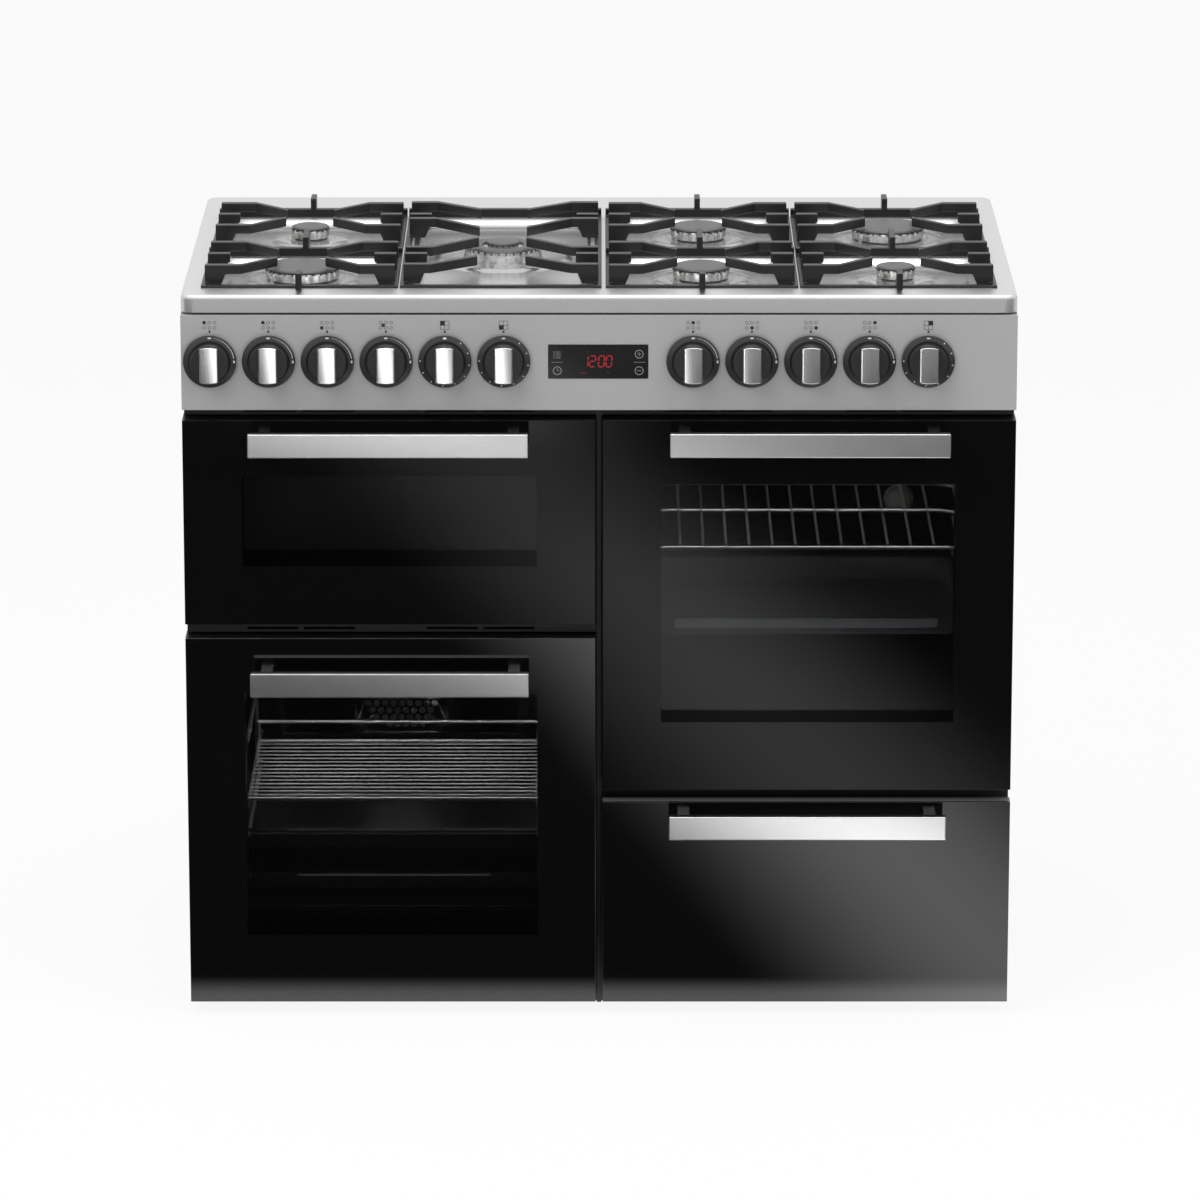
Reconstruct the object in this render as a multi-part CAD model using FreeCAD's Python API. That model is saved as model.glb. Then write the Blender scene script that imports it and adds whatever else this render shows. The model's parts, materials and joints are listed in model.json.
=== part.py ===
import FreeCAD, Part
import math
import os

from FreeCAD import Vector

os.makedirs("parts", exist_ok=True)

# Overall size, with x to the right, y away from the user and z up.
# The origin is on the floor, at the middle of the whole cooker in plan.
width = 1000.0
depth = 600.0
hob_height = 900.0
support_rise = 24.0
handle_reach = 45.0

front = (handle_reach - depth) / 2
back = front + depth
right = width / 2
support_top = hob_height + support_rise

# Sheets, panes and the overrun of every cut
sheet = 1.5
pane = 4.0
overrun = 5.0

# Front layout, from the floor up
plinth_gap = 15.5
lower_door_height = 461.0
strip_gap = 17.3
drawer_gap = 15.0
top_strip_gap = 12.7
panel_height = 116.5
hob_joint = 2.5
hob_skirt = 21.5
centre_gap = 8.5

panel_top = hob_height - hob_skirt - hob_joint
panel_bottom = panel_top - panel_height
door_top = panel_bottom - top_strip_gap
fan_door_top = plinth_gap + lower_door_height
grill_door_bottom = fan_door_top + strip_gap
main_door_bottom = door_top - lower_door_height
drawer_top = main_door_bottom - drawer_gap
column_x = (width + centre_gap) / 4
door_width = (width - centre_gap) / 2

# Doors
door_thickness = 38.0
door_to_frame = 7.0
window_width = 354.5
pane_lip = 8.0
frame_y = front + door_thickness + door_to_frame

# Windows, as shares of their door's height: where each starts and ends
grill_window_shares = (0.28656, 0.72925)
fan_window_shares = (0.18547, 0.94469)
main_window_shares = (0.18547, 0.82972)

# Door hinges, a pin in each door corner that hangs in a hook on the frame
hinge_inset = 12.0
hinge_rise = 10.0
hinge_offset = 218.0
hook_thickness = 8.0
hook_radius = 6.0
hook_wall_rise = 3.0
nose_share = 0.414
hinge_pin_radius = 3.0
pin_running_gap = 0.05
notch_side_gap = 2.0
notch_head_gap = 1.6
cheek_thickness = 2.0
cheek_height = 26.0
cheek_depth = 24.0

# Handles
handle_length = 335.0
handle_height = 29.0
handle_thickness = 12.0
handle_bevel = 1.5
handle_post_width = 14.0
handle_post_height = 18.0
handle_post_inset = 18.0
grill_handle_drop = 36.0
fan_handle_drop = 61.5
main_handle_drop = 35.5
drawer_handle_drop = 35.3

# Ovens
cavity_width = 405.0
cavity_depth = 425.0
grill_floor_share = 0.3091
fan_floor_share = 0.24403
main_floor_share = 0.19132
upper_ceiling_drop = 32.0
fan_ceiling_drop = 16.5
seal_width = 8.0
seal_gap = 1.0
seal_thickness = 4.6

grill_door_height = door_top - grill_door_bottom
grill_cavity_floor = grill_door_bottom + grill_floor_share * grill_door_height
fan_cavity_floor = plinth_gap + fan_floor_share * lower_door_height
main_cavity_floor = main_door_bottom + main_floor_share * lower_door_height
upper_ceiling = door_top - upper_ceiling_drop
fan_ceiling = fan_door_top - fan_ceiling_drop
cavity_half = cavity_width / 2
cavity_back = frame_y + cavity_depth

# Outer case
case_bottom = plinth_gap
base_rise = 9.5
back_inset = 28.0
side_overhang = 18.0
rear_flange = 15.0
base_flange = 18.0
case_half = right - sheet
case_back = back - back_inset
base_z = case_bottom + base_rise
foot_radius = 18.0
foot_pad_height = 8.0
foot_stem_radius = 8.0
foot_inset_x = 60.0
foot_inset_y = 60.0
louvre_width = 120.0
louvre_height = 6.0
louvre_pitch = 18.0
louvre_count = 3
louvre_drop = 60.0
frame_top_lap = 12.0

# Vent strips between the fronts, and the centre post
strip_inset = 24.0
strip_clearance = 2.0
strip_side_gap = 1.5
panel_clearance = 0.7
post_clearance = 1.4
post_toe = 8.0
slot_height = 3.0
slot_length = 62.0
slot_rise = 3.2
slot_offsets = (-143.0, -74.5, 74.5, 143.0)

# Control panel and display
panel_hole_radius = 5.0
display_width = 119.0
display_height = 41.0
display_x = -1.0
display_rise = 59.6
display_proud = 0.5
display_thickness = 3.0
display_joint = 0.15

# Knobs, all on one line
knob_rise = 60.6
knob_pitch = 70.25
left_first_knob_x = -465.3
right_first_knob_x = 112.4
left_knob_count = 6
right_knob_count = 5
left_gas_count = 4
right_gas_count = 4
knob_stand_off = 3.8
skirt_radius = 32.0
skirt_rise = 3.2
barrel_radius = 23.6
barrel_top_radius = 22.8
barrel_height = 10.0
knob_sides = 26
grip_width = 22.0
grip_height = 13.0
spindle_radius = 4.0
spindle_flat = 3.0
spindle_length = 16.8

# Gas rail, taps, pipes and cups, behind the panel and under the hob
tap_setback = 17.0
tap_depth = 30.0
tap_half_width = 13.0
tap_half_height = 13.0
rail_size = 18.0
cup_radius = 22.0
cup_depth = 38.0
pipe_radius = 4.0
front_pipe_drop = 22.0
rear_pipe_drop = 33.0
pipe_lane_shift = 32.0
wok_pipe_spread = 10.0
inlet_x = 460.0
inlet_pipe_radius = 7.0
inlet_thread_radius = 10.478
inlet_thread_length = 15.0
inlet_hole_gap = 3.0

# Oven switches and timer behind the panel
switch_half = 20.0
module_depth = 44.0
switch_pocket_depth = 18.0
timer_margin = 4.0

# Hob pressing
hob_wall = 2.0
hob_corner_radius = 12.0
hob_bevel = 2.6
well_depth = 10.0
well_draft = 6.0
well_corner_radius = 25.0
field_half = 477.5
field_front = 42.0
split_x = 240.0
ridge_x = 5.5
ridge_half = 2.5
support_gap = 1.0

# Pan supports
bar_width = 8.0
bar_height = 3.0
well_margin = 4.0
cross_bar_width = 10.0
cross_bar_height = 10.5
support_length = 435.0
burner_pitch = 240.0
front_burner_inset = 92.0
cross_bar_offset = 93.0
arm_height = 11.0
arm_width = 11.0
arm_end_inset = 4.0
arm_bend = 71.0
wok_arm_bend = 84.0
arm_tip = 29.0
arm_outer_offset = 68.0
arm_tip_offset = 23.5
wok_inner_offset = 87.0
wok_inner_tip = 31.0
wok_outer_offset = 188.0
wok_outer_tip = 142.0
stub_length = 27.0
leg_top = 25.0
leg_foot = 19.5
finger_width = 7.0
rear_finger_length = 30.0
front_finger_reach = 30.0
front_finger_top = 22.0

# Burners: cap radius and number of flame ports of each size
small_radius = 22.5
medium_radius = 33.5
large_radius = 44.0
wok_radius = 43.5
small_ports = 6
medium_ports = 8
large_ports = 10
wok_ports = 12
cap_sides = 20
port_depth = 3.0
crown_height = 16.0
cap_overhang = 1.0
cap_thickness = 3.5
wok_skirt_radius = 64.0
wok_skirt_height = 9.0
wok_ring_bore = 26.0
wok_middle_radius = 19.0
wok_middle_height = 4.0
igniter_radius = 3.0
igniter_height = 13.0
igniter_gap = 6.0

# Oven fittings
wire = 5.0
rack_front_setback = 25.0
rack_length = 320.0
rack_end_margin = 12.0
shelf_side_clearance = 1.0
lowest_rung_rise = 29.0
fan_rung_shares = (0.0, 0.17491, 0.31683, 0.57096)
main_rung_shares = (0.25337, 0.4009, 0.55164, 0.7601)
rungs_below_low_tray_count = 0
rungs_below_fan_tray_count = 1
rungs_below_main_tray_count = 0
rungs_below_shelf_count = 2
fan_shelf_bars = 17
fan_shelf_pitch = 17.5
main_shelf_bars = 12
main_shelf_pitch = 28.0
shelf_front_setback = 18.0
main_shelf_depth = 330.0
main_shelf_cross = 190.0
back_stop_rise = 20.0
tray_depth = 300.0
tray_height = 26.0
tray_taper = 9.0
tray_rim = 9.0
tray_wall = 1.2
lamp_radius = 19.0
lamp_height = 16.0
lamp_sides = 12
lamp_offset_x = 129.0
main_lamp_rise = 162.0
fan_lamp_drop = 21.5

# Fan, its cover and motor, and the heating elements
fan_cover_half_width = 165.0
lamp_to_cover = 3.5
fan_cover_depth = 38.0
cover_hole_radius = 9.0
cover_hole_pitch = 22.0
cover_holes_across = 5
cover_slot_length = 70.0
cover_slot_height = 7.0
cover_slot_x = 102.0
cover_slot_share = 0.45082
impeller_share = 0.5082
blade_inner_share = 0.31148
ring_element_share = 0.68852
impeller_plate = 1.5
impeller_back_gap = 5.0
blade_count = 10
blade_thickness = 1.5
blade_height = 20.0
blade_lean = 9.0
shaft_radius = 4.0
hub_radius = 9.0
shaft_hole_gap = 2.0
motor_half = 30.0
motor_depth = 34.0
element_radius = 3.5
ring_element_sides = 12
element_drop = 16.0
element_runs = 6
element_pitch = 54.0
element_run_length = 300.0
element_corner = 14.0

fan_x = -column_x
fan_z = (fan_cavity_floor + fan_ceiling) / 2
fan_cover_half_height = fan_ceiling - fan_z - fan_lamp_drop - lamp_radius - lamp_to_cover
cover_slot_z = cover_slot_share * fan_cover_half_height
impeller_radius = impeller_share * fan_cover_half_height
blade_inner_radius = blade_inner_share * fan_cover_half_height
ring_element_radius = ring_element_share * fan_cover_half_height

# Drawer and its runners
drawer_tray_depth = 20.0
drawer_box_half = 200.0
drawer_box_length = 400.0
drawer_box_rise = 32.0
drawer_box_drop = 51.3
drawer_wall = 1.2
slide_height = 10.0
slide_depth = 7.0
slide_gap = 0.3
runner_wall = 1.5
runner_share = 0.407
drawer_mouth_gap = 14.0

drawer_floor = plinth_gap + drawer_box_rise
drawer_rim = drawer_top - drawer_box_drop


def block(x0, x1, y0, y1, z0, z1):
    """Box between two corners."""
    return Part.makeBox(x1 - x0, y1 - y0, z1 - z0, Vector(x0, y0, z0))


def outline(points):
    """Flat face inside straight lines through the points."""
    return Part.Face(Part.makePolygon(points + points[:1]))


def prism_z(corners, z0, z1):
    """Upright prism on a plan outline."""
    return outline([Vector(x, y, z0) for x, y in corners]).extrude(Vector(0, 0, z1 - z0))


def prism_y(corners, y0, y1):
    """Prism along y on an outline in x and z."""
    return outline([Vector(x, y0, z) for x, z in corners]).extrude(Vector(0, y1 - y0, 0))


def prism_x(corners, x0, x1):
    """Prism along x on an outline in y and z."""
    return outline([Vector(x0, y, z) for y, z in corners]).extrude(Vector(x1 - x0, 0, 0))


def polygon(radius, sides, start=0.0):
    """Corners of a regular polygon about the origin, the first one at angle start."""
    step = 2 * math.pi / sides
    return [(radius * math.cos(start + i * step), radius * math.sin(start + i * step))
            for i in range(sides)]


def moved(corners, u, v):
    """The same outline shifted in its own plane."""
    return [(a + u, b + v) for a, b in corners]


def turned(profile, sides, centre, axis):
    """Many-sided solid with flat faces, through (radius, height) stations."""
    start = math.pi / sides
    rings = [[Vector(u, v, height) for u, v in polygon(radius, sides, start)]
             for radius, height in profile]
    faces = [outline(rings[0]), outline(rings[-1])]
    for low, high in zip(rings, rings[1:]):
        faces += [outline([low[i - 1], low[i], high[i], high[i - 1]]) for i in range(sides)]
    solid = Part.Solid(Part.Shell(faces))
    if solid.Volume < 0:
        solid.reverse()
    solid.Placement = FreeCAD.Placement(centre, FreeCAD.Rotation(Vector(0, 0, 1), axis))
    return solid


def rounded_wire(x0, x1, y0, y1, radius, z):
    """Closed plan outline with four round corners."""
    k = radius * math.sqrt(0.5)
    corners = [(x1 - radius, y0 + radius, 1, -1), (x1 - radius, y1 - radius, 1, 1),
               (x0 + radius, y1 - radius, -1, 1), (x0 + radius, y0 + radius, -1, -1)]
    edges = []
    ends = []
    for cx, cy, sx, sy in corners:
        a = Vector(cx + sx * radius, cy, z)
        b = Vector(cx, cy + sy * radius, z)
        first, last = (a, b) if sx * sy > 0 else (b, a)
        edges.append(Part.Arc(first, Vector(cx + sx * k, cy + sy * k, z), last).toShape())
        ends.append((first, last))
    for i in range(len(ends)):
        edges.append(Part.makeLine(ends[i - 1][1], ends[i][0]))
    return Part.Wire(Part.__sortEdges__(edges))


def soft_wire(x0, x1, y0, y1, radius, z):
    """Closed plan outline whose corners turn in two straight steps."""
    k = radius * math.sqrt(0.5)
    points = []
    for cx, cy, sx, sy in ((x1 - radius, y1 - radius, 1, 1), (x0 + radius, y1 - radius, -1, 1),
                           (x0 + radius, y0 + radius, -1, -1), (x1 - radius, y0 + radius, 1, -1)):
        corner = [Vector(cx + sx * radius, cy, z), Vector(cx + sx * k, cy + sy * k, z),
                  Vector(cx, cy + sy * radius, z)]
        points += corner if sx * sy > 0 else corner[::-1]
    return Part.makePolygon(points + points[:1])


def bar(points, radius):
    """Square-section bar along straight runs, mitred where it turns."""
    path = Part.makePolygon(points)
    along = (points[1] - points[0]).normalize()
    side = along.cross(Vector(0, 0, 1))
    if side.Length < math.sqrt(0.5):
        side = Vector(1, 0, 0)
    side.normalize()
    over = side.cross(along).normalize()
    corner = radius / math.cos(math.pi / 4)
    ring = [points[0] + side * u + over * v for u, v in polygon(corner, 4, math.pi / 4)]
    profile = Part.makePolygon(ring + ring[:1])
    return path.makePipeShell([profile], True, False, 1)


def fused(pieces):
    """One solid from pieces that touch or overlap."""
    return pieces[0].fuse(pieces[1:]).removeSplitter()


def save(name, *pieces):
    """Writes one node, a single solid or a group of separate solids."""
    shape = pieces[0] if len(pieces) == 1 else Part.makeCompound(list(pieces))
    shape.exportStep("parts/" + name + ".step")


def knob_x(index):
    """Middle of a knob, counted from the left."""
    if index < left_knob_count:
        return left_first_knob_x + index * knob_pitch
    return right_first_knob_x + (index - left_knob_count) * knob_pitch


knob_z = panel_bottom + knob_rise
knob_back = front - knob_stand_off
gas_knobs = list(range(left_gas_count))
gas_knobs += list(range(left_knob_count, left_knob_count + right_gas_count))
all_knobs = range(left_knob_count + right_knob_count)
oven_knobs = [i for i in all_knobs if i not in gas_knobs]

# Plan of the hob: the four pan supports between split lines, with the burners in them
field_y = front + field_front
support_middle_y = field_y + support_length / 2
front_burner_y = field_y + front_burner_inset
rear_burner_y = front_burner_y + burner_pitch
support_spans = [
    (-field_half, -split_x - support_gap),
    (-split_x + support_gap, ridge_x - ridge_half),
    (ridge_x + ridge_half, split_x - support_gap),
    (split_x + support_gap, field_half),
]
wok_index = 1
middles = [(x0 + x1) / 2 for x0, x1 in support_spans]
burners = [
    (middles[0], rear_burner_y, small_radius, small_ports),
    (middles[0], front_burner_y, large_radius, large_ports),
    (middles[2], rear_burner_y, medium_radius, medium_ports),
    (middles[2], front_burner_y, medium_radius, medium_ports),
    (middles[3], rear_burner_y, large_radius, large_ports),
    (middles[3], front_burner_y, small_radius, small_ports),
]
wok_x = middles[wok_index]
wok_y = support_middle_y
well_floor = hob_height - well_depth


def build_case():
    """Side panels, back panel, base pan and feet."""
    sides = []
    for hand in (-1, 1):
        inner = hand * case_half
        outer = hand * right
        wall = block(min(inner, outer), max(inner, outer), frame_y, back - side_overhang + sheet,
                     case_bottom, hob_height - hob_skirt)
        fold = inner - hand * rear_flange
        flange = block(min(inner, fold), max(inner, fold), back - side_overhang,
                       back - side_overhang + sheet, case_bottom, hob_height - hob_skirt)
        sides.append(fused([wall, flange]))
    save("side_panels", *sides)

    panel = block(-case_half, case_half, case_back - sheet, case_back, base_z,
                  hob_height - hob_skirt)
    hole = inlet_thread_radius + inlet_hole_gap
    cuts = [block(inlet_x - hole, inlet_x + hole, case_back - sheet - overrun,
                  case_back + overrun, knob_z - hole, knob_z + hole)]
    for column in (-column_x, 0, column_x):
        for row in range(louvre_count):
            z = hob_height - hob_skirt - louvre_drop - row * louvre_pitch
            cuts.append(block(column - louvre_width / 2, column + louvre_width / 2,
                              case_back - sheet - overrun, case_back + overrun,
                              z - louvre_height, z))
    save("back_panel", panel.cut(cuts))

    floor = block(-case_half, case_half, frame_y + sheet, case_back - sheet, base_z,
                  base_z + sheet)
    flanges = []
    for hand in (-1, 1):
        inner = hand * (case_half - sheet)
        outer = hand * case_half
        flanges.append(block(min(inner, outer), max(inner, outer), frame_y + sheet,
                             case_back - sheet, base_z, base_z + base_flange))
    save("base_pan", fused([floor] + flanges))

    feet = []
    for hand_x in (-1, 1):
        for y in (frame_y + foot_inset_y, case_back - foot_inset_y):
            x = hand_x * (right - foot_inset_x)
            pad = prism_z(moved(polygon(foot_radius, 8), x, y), 0, foot_pad_height)
            stem = prism_z(moved(polygon(foot_stem_radius, 6), x, y), foot_pad_height, base_z)
            feet.append(fused([pad, stem]))
    save("levelling_feet", *feet)


def hinge_hook(x, axis_z):
    """Flat hook on the front frame, its round seat open upwards for the hinge pin."""
    axis_y = front + hinge_inset
    low = hook_radius * nose_share
    corners = [(axis_y - hook_radius, axis_z + hook_wall_rise), (axis_y - hook_radius, axis_z - low),
               (axis_y - low, axis_z - hook_radius), (frame_y, axis_z - hook_radius),
               (frame_y, axis_z + hook_wall_rise)]
    hook = prism_x(corners, x - hook_thickness / 2, x + hook_thickness / 2)
    seat_radius = hinge_pin_radius + pin_running_gap
    reach = hook_thickness / 2 + overrun
    seat = Part.makeCylinder(seat_radius, 2 * reach, Vector(x - reach, axis_y, axis_z),
                             Vector(1, 0, 0))
    throat = block(x - reach, x + reach, axis_y - seat_radius, axis_y + seat_radius, axis_z,
                   axis_z + reach)
    return hook.cut(fused([seat, throat]))


def door_axis_heights():
    """Hinge heights of the three doors, each with its column's middle."""
    return [(-column_x, grill_door_bottom + hinge_rise), (-column_x, plinth_gap + hinge_rise),
            (column_x, main_door_bottom + hinge_rise)]


def build_front_frame():
    """Front plate with the oven mouths and the drawer mouth."""
    plate = block(-case_half, case_half, frame_y, frame_y + sheet, case_bottom,
                  panel_bottom + frame_top_lap)
    mouth = cavity_half + sheet
    cuts = []
    for x, z0, z1 in ((-column_x, grill_cavity_floor, upper_ceiling),
                      (-column_x, fan_cavity_floor, fan_ceiling),
                      (column_x, main_cavity_floor, upper_ceiling)):
        cuts.append(block(x - mouth, x + mouth, frame_y - overrun, frame_y + sheet + overrun,
                          z0 - sheet, z1 + sheet))
    reach = drawer_box_half + drawer_mouth_gap
    cuts.append(block(column_x - reach, column_x + reach, frame_y - overrun,
                      frame_y + sheet + overrun, base_z + sheet, drawer_rim + drawer_mouth_gap))
    save("front_frame", plate.cut(cuts))


def vent_strip(x0, x1, z0, z1, columns):
    """Channel between two fronts, with a row of vent slots in its face."""
    face_y = front + strip_inset
    channel = block(x0, x1, face_y, frame_y, z0, z1)
    channel = channel.cut(block(x0 - overrun, x1 + overrun, face_y + sheet, frame_y + overrun,
                                z0 + sheet, z1 - sheet))
    slots = []
    for column in columns:
        for offset in slot_offsets:
            x = column + offset
            slots.append(block(x - slot_length / 2, x + slot_length / 2, face_y - overrun,
                               face_y + sheet + overrun, z0 + slot_rise,
                               z0 + slot_rise + slot_height))
    return channel.cut(slots)


def build_front_fittings():
    """Upper vent strip, strip over the fan oven door, centre post and six hinge hooks."""
    reach = right - strip_side_gap
    upper = vent_strip(-reach, reach, door_top + strip_clearance, panel_bottom - panel_clearance,
                       (-column_x, column_x))
    lower = vent_strip(-reach, -centre_gap / 2, fan_door_top + strip_clearance,
                       grill_door_bottom - strip_clearance, (-column_x,))
    half = centre_gap / 2 - post_clearance
    post = block(-half, half, front + strip_inset, frame_y, case_bottom - post_toe,
                 door_top + strip_clearance)
    hooks = [hinge_hook(x + hand * hinge_offset, z)
             for x, z in door_axis_heights() for hand in (-1, 1)]
    save("front_fittings", upper, lower, post, *hooks)


def build_control_panel():
    """Folded fascia, open at the back, with knob holes and the display cut-out."""
    shell = block(-right, right, front, frame_y, panel_bottom, panel_top)
    shell = shell.cut(block(-right + sheet, right - sheet, front + sheet, frame_y + overrun,
                            panel_bottom + sheet, panel_top - sheet))
    cuts = []
    for index in all_knobs:
        hole = moved(polygon(panel_hole_radius, 8, math.pi / 8), knob_x(index), knob_z)
        cuts.append(prism_y(hole, front - overrun, front + sheet + overrun))
    half_w = display_width / 2
    half_h = display_height / 2
    z = panel_bottom + display_rise
    cuts.append(block(display_x - half_w - display_joint, display_x + half_w + display_joint,
                      front - overrun, front + sheet + overrun,
                      z - half_h - display_joint, z + half_h + display_joint))
    save("control_panel", shell.cut(cuts))

    glass_back = front - display_proud + display_thickness
    save("display_glass", block(display_x - half_w, display_x + half_w, front - display_proud,
                                glass_back, z - half_h, z + half_h))

    margin = timer_margin
    timer = block(display_x - half_w + margin, display_x + half_w - margin, glass_back,
                  front + module_depth, z - half_h + margin, z + half_h - margin)
    modules = [timer]
    for index in oven_knobs:
        x = knob_x(index)
        body = block(x - switch_half, x + switch_half, front + sheet, front + module_depth,
                     knob_z - switch_half, knob_z + switch_half)
        pocket = moved(polygon(panel_hole_radius, 8, math.pi / 8), x, knob_z)
        modules.append(body.cut(prism_y(pocket, front, front + switch_pocket_depth)))
    return modules


def knob_dial(x):
    """Round knob body, a shallow skirt and a raised barrel."""
    profile = [(skirt_radius, 0), (barrel_radius, skirt_rise),
               (barrel_top_radius, skirt_rise + barrel_height)]
    return turned(profile, knob_sides, Vector(x, knob_back, knob_z), Vector(0, -1, 0))


def knob_grip(x):
    """Upright bar over the barrel, its ends bowed like the barrel's edge."""
    face = knob_back - skirt_rise - barrel_height
    half = grip_width / 2
    shoulder = math.sqrt(barrel_top_radius ** 2 - half ** 2)
    corners = [(-half, -shoulder), (0, -barrel_top_radius), (half, -shoulder),
               (half, shoulder), (0, barrel_top_radius), (-half, shoulder)]
    return prism_y(moved(corners, x, knob_z), face - grip_height, face)


def knob_spindle(x):
    """Shaft with its wide flat on top, from the back of the knob into the tap or switch."""
    corners = [(a, min(b, spindle_flat)) for a, b in polygon(spindle_radius, 8, math.pi / 8)]
    return prism_y(moved(corners, x, knob_z), knob_back, knob_back + spindle_length)


def build_knobs():
    """Gas knobs on push-in spindles, and oven knobs with their own shafts."""
    for number, index in enumerate(gas_knobs, start=1):
        x = knob_x(index)
        save("gas_knob_%d" % number, knob_dial(x), knob_grip(x))
        save("gas_spindle_%d" % number, knob_spindle(x))
    for number, index in enumerate(oven_knobs, start=1):
        x = knob_x(index)
        save("oven_knob_%d" % number, knob_dial(x), knob_grip(x), knob_spindle(x))


def gas_pipe(tap, burner, level, lane=None, shift=0.0):
    """Pipe from the top of a tap, back along its lane and sideways into a burner cup."""
    tap_x = knob_x(tap)
    lane_x = tap_x if lane is None else lane
    burner_x, burner_y = burner
    tap_y = front + tap_setback + tap_depth / 2
    z = well_floor - hob_wall - level
    side = 1 if burner_x > lane_x else -1
    points = [Vector(tap_x, tap_y, knob_z + tap_half_height), Vector(tap_x, tap_y, z)]
    if lane is not None:
        points.append(Vector(lane_x, tap_y, z))
    points.append(Vector(lane_x, burner_y + shift, z))
    points.append(Vector(burner_x - side * cup_radius, burner_y + shift, z))
    return bar(points, pipe_radius)


def build_gas_train():
    """Rail with its rear inlet, eight taps, the pipes, and the cups under the hob."""
    tap_front = front + tap_setback
    rail_y = tap_front + tap_depth
    pieces = []
    rail = block(-case_half, case_half, rail_y, rail_y + rail_size, knob_z - rail_size / 2,
                 knob_z + rail_size / 2)
    inlet_end = back
    thread_start = inlet_end - inlet_thread_length
    start = rail_y + rail_size
    pipe = prism_y(moved(polygon(inlet_pipe_radius, 8), inlet_x, knob_z), start, thread_start)
    thread = Part.makeCylinder(inlet_thread_radius, inlet_thread_length,
                               Vector(inlet_x, thread_start, knob_z), Vector(0, 1, 0))
    pieces.append(rail)
    pieces.append(fused([pipe, thread]))
    for index in gas_knobs:
        x = knob_x(index)
        pieces.append(block(x - tap_half_width, x + tap_half_width, tap_front, rail_y,
                            knob_z - tap_half_height, knob_z + tap_half_height))
    centres = [(x, y) for x, y, radius, ports in burners] + [(wok_x, wok_y)]
    cup_outline = polygon(cup_radius / math.cos(math.pi / 6), 6, math.pi / 6)
    cup_top = well_floor - hob_wall
    for x, y in centres:
        pieces.append(prism_z(moved(cup_outline, x, y), cup_top - cup_depth, cup_top))
    lane = knob_x(left_knob_count) - pipe_lane_shift
    first = left_knob_count
    rear, ahead = rear_pipe_drop, front_pipe_drop
    pieces.append(gas_pipe(0, centres[0], rear))
    pieces.append(gas_pipe(1, centres[6], rear, shift=wok_pipe_spread))
    pieces.append(gas_pipe(2, centres[1], ahead))
    pieces.append(gas_pipe(3, centres[6], rear, shift=-wok_pipe_spread))
    pieces.append(gas_pipe(first, centres[2], rear, lane=lane))
    pieces.append(gas_pipe(first + 1, centres[3], ahead))
    pieces.append(gas_pipe(first + 2, centres[5], ahead))
    pieces.append(gas_pipe(first + 3, centres[4], rear))
    save("gas_manifold", *pieces)


def well_outlines():
    """Plan rectangles of the pressed wells, inside the bars of each pan support."""
    inset = bar_width + well_margin
    y0 = field_y + inset
    y1 = rear_burner_y + cross_bar_offset - well_margin
    split_low = front_burner_y + cross_bar_offset - well_margin
    split_high = split_low + cross_bar_width + 2 * well_margin
    wells = []
    for index, (x0, x1) in enumerate(support_spans):
        if index == wok_index:
            wells.append((x0 + inset, x1 - inset, y0, y1))
        else:
            wells.append((x0 + inset, x1 - inset, y0, split_low))
            wells.append((x0 + inset, x1 - inset, split_high, y1))
    return wells


def build_hob():
    """Pressed hob top: skirt all round, bevelled rim and a sloped well round each burner."""
    skirt_bottom = hob_height - hob_skirt
    rim = Part.Face(rounded_wire(-right, right, front, back, hob_corner_radius, skirt_bottom))
    body = rim.extrude(Vector(0, 0, hob_skirt))
    top_edges = [e for e in body.Edges
                 if all(abs(v.Z - hob_height) < sheet for v in e.Vertexes)]
    body = body.makeChamfer(hob_bevel, top_edges)
    wells = []
    under = block(-right + hob_wall, right - hob_wall, front + hob_wall, back - hob_wall,
                  skirt_bottom - overrun, hob_height - hob_wall)
    boxes = []
    for x0, x1, y0, y1 in well_outlines():
        radius = well_corner_radius
        top = soft_wire(x0, x1, y0, y1, radius, hob_height)
        low = soft_wire(x0 + well_draft, x1 - well_draft, y0 + well_draft, y1 - well_draft,
                           radius - well_draft, well_floor)
        wells.append(Part.makeLoft([low, top], True, True))
        boxes.append(block(x0 - hob_wall, x1 + hob_wall, y0 - hob_wall, y1 + hob_wall,
                           well_floor - hob_wall, hob_height))
    save("hob_top", body.cut(wells).cut(under.cut(boxes)))


def crown(x, y, radius, ports, z0, z1):
    """Burner crown, its rim notched by the flame ports."""
    step = 2 * math.pi / ports
    rim_share = 0.32
    rim = []
    for i in range(ports):
        for angle, r in ((-rim_share, radius), (rim_share, radius),
                         (rim_share, radius - port_depth),
                         (1 - rim_share, radius - port_depth)):
            turn = (i + angle) * step
            rim.append((x + r * math.cos(turn), y + r * math.sin(turn)))
    return prism_z(rim, z0, z1)


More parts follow.
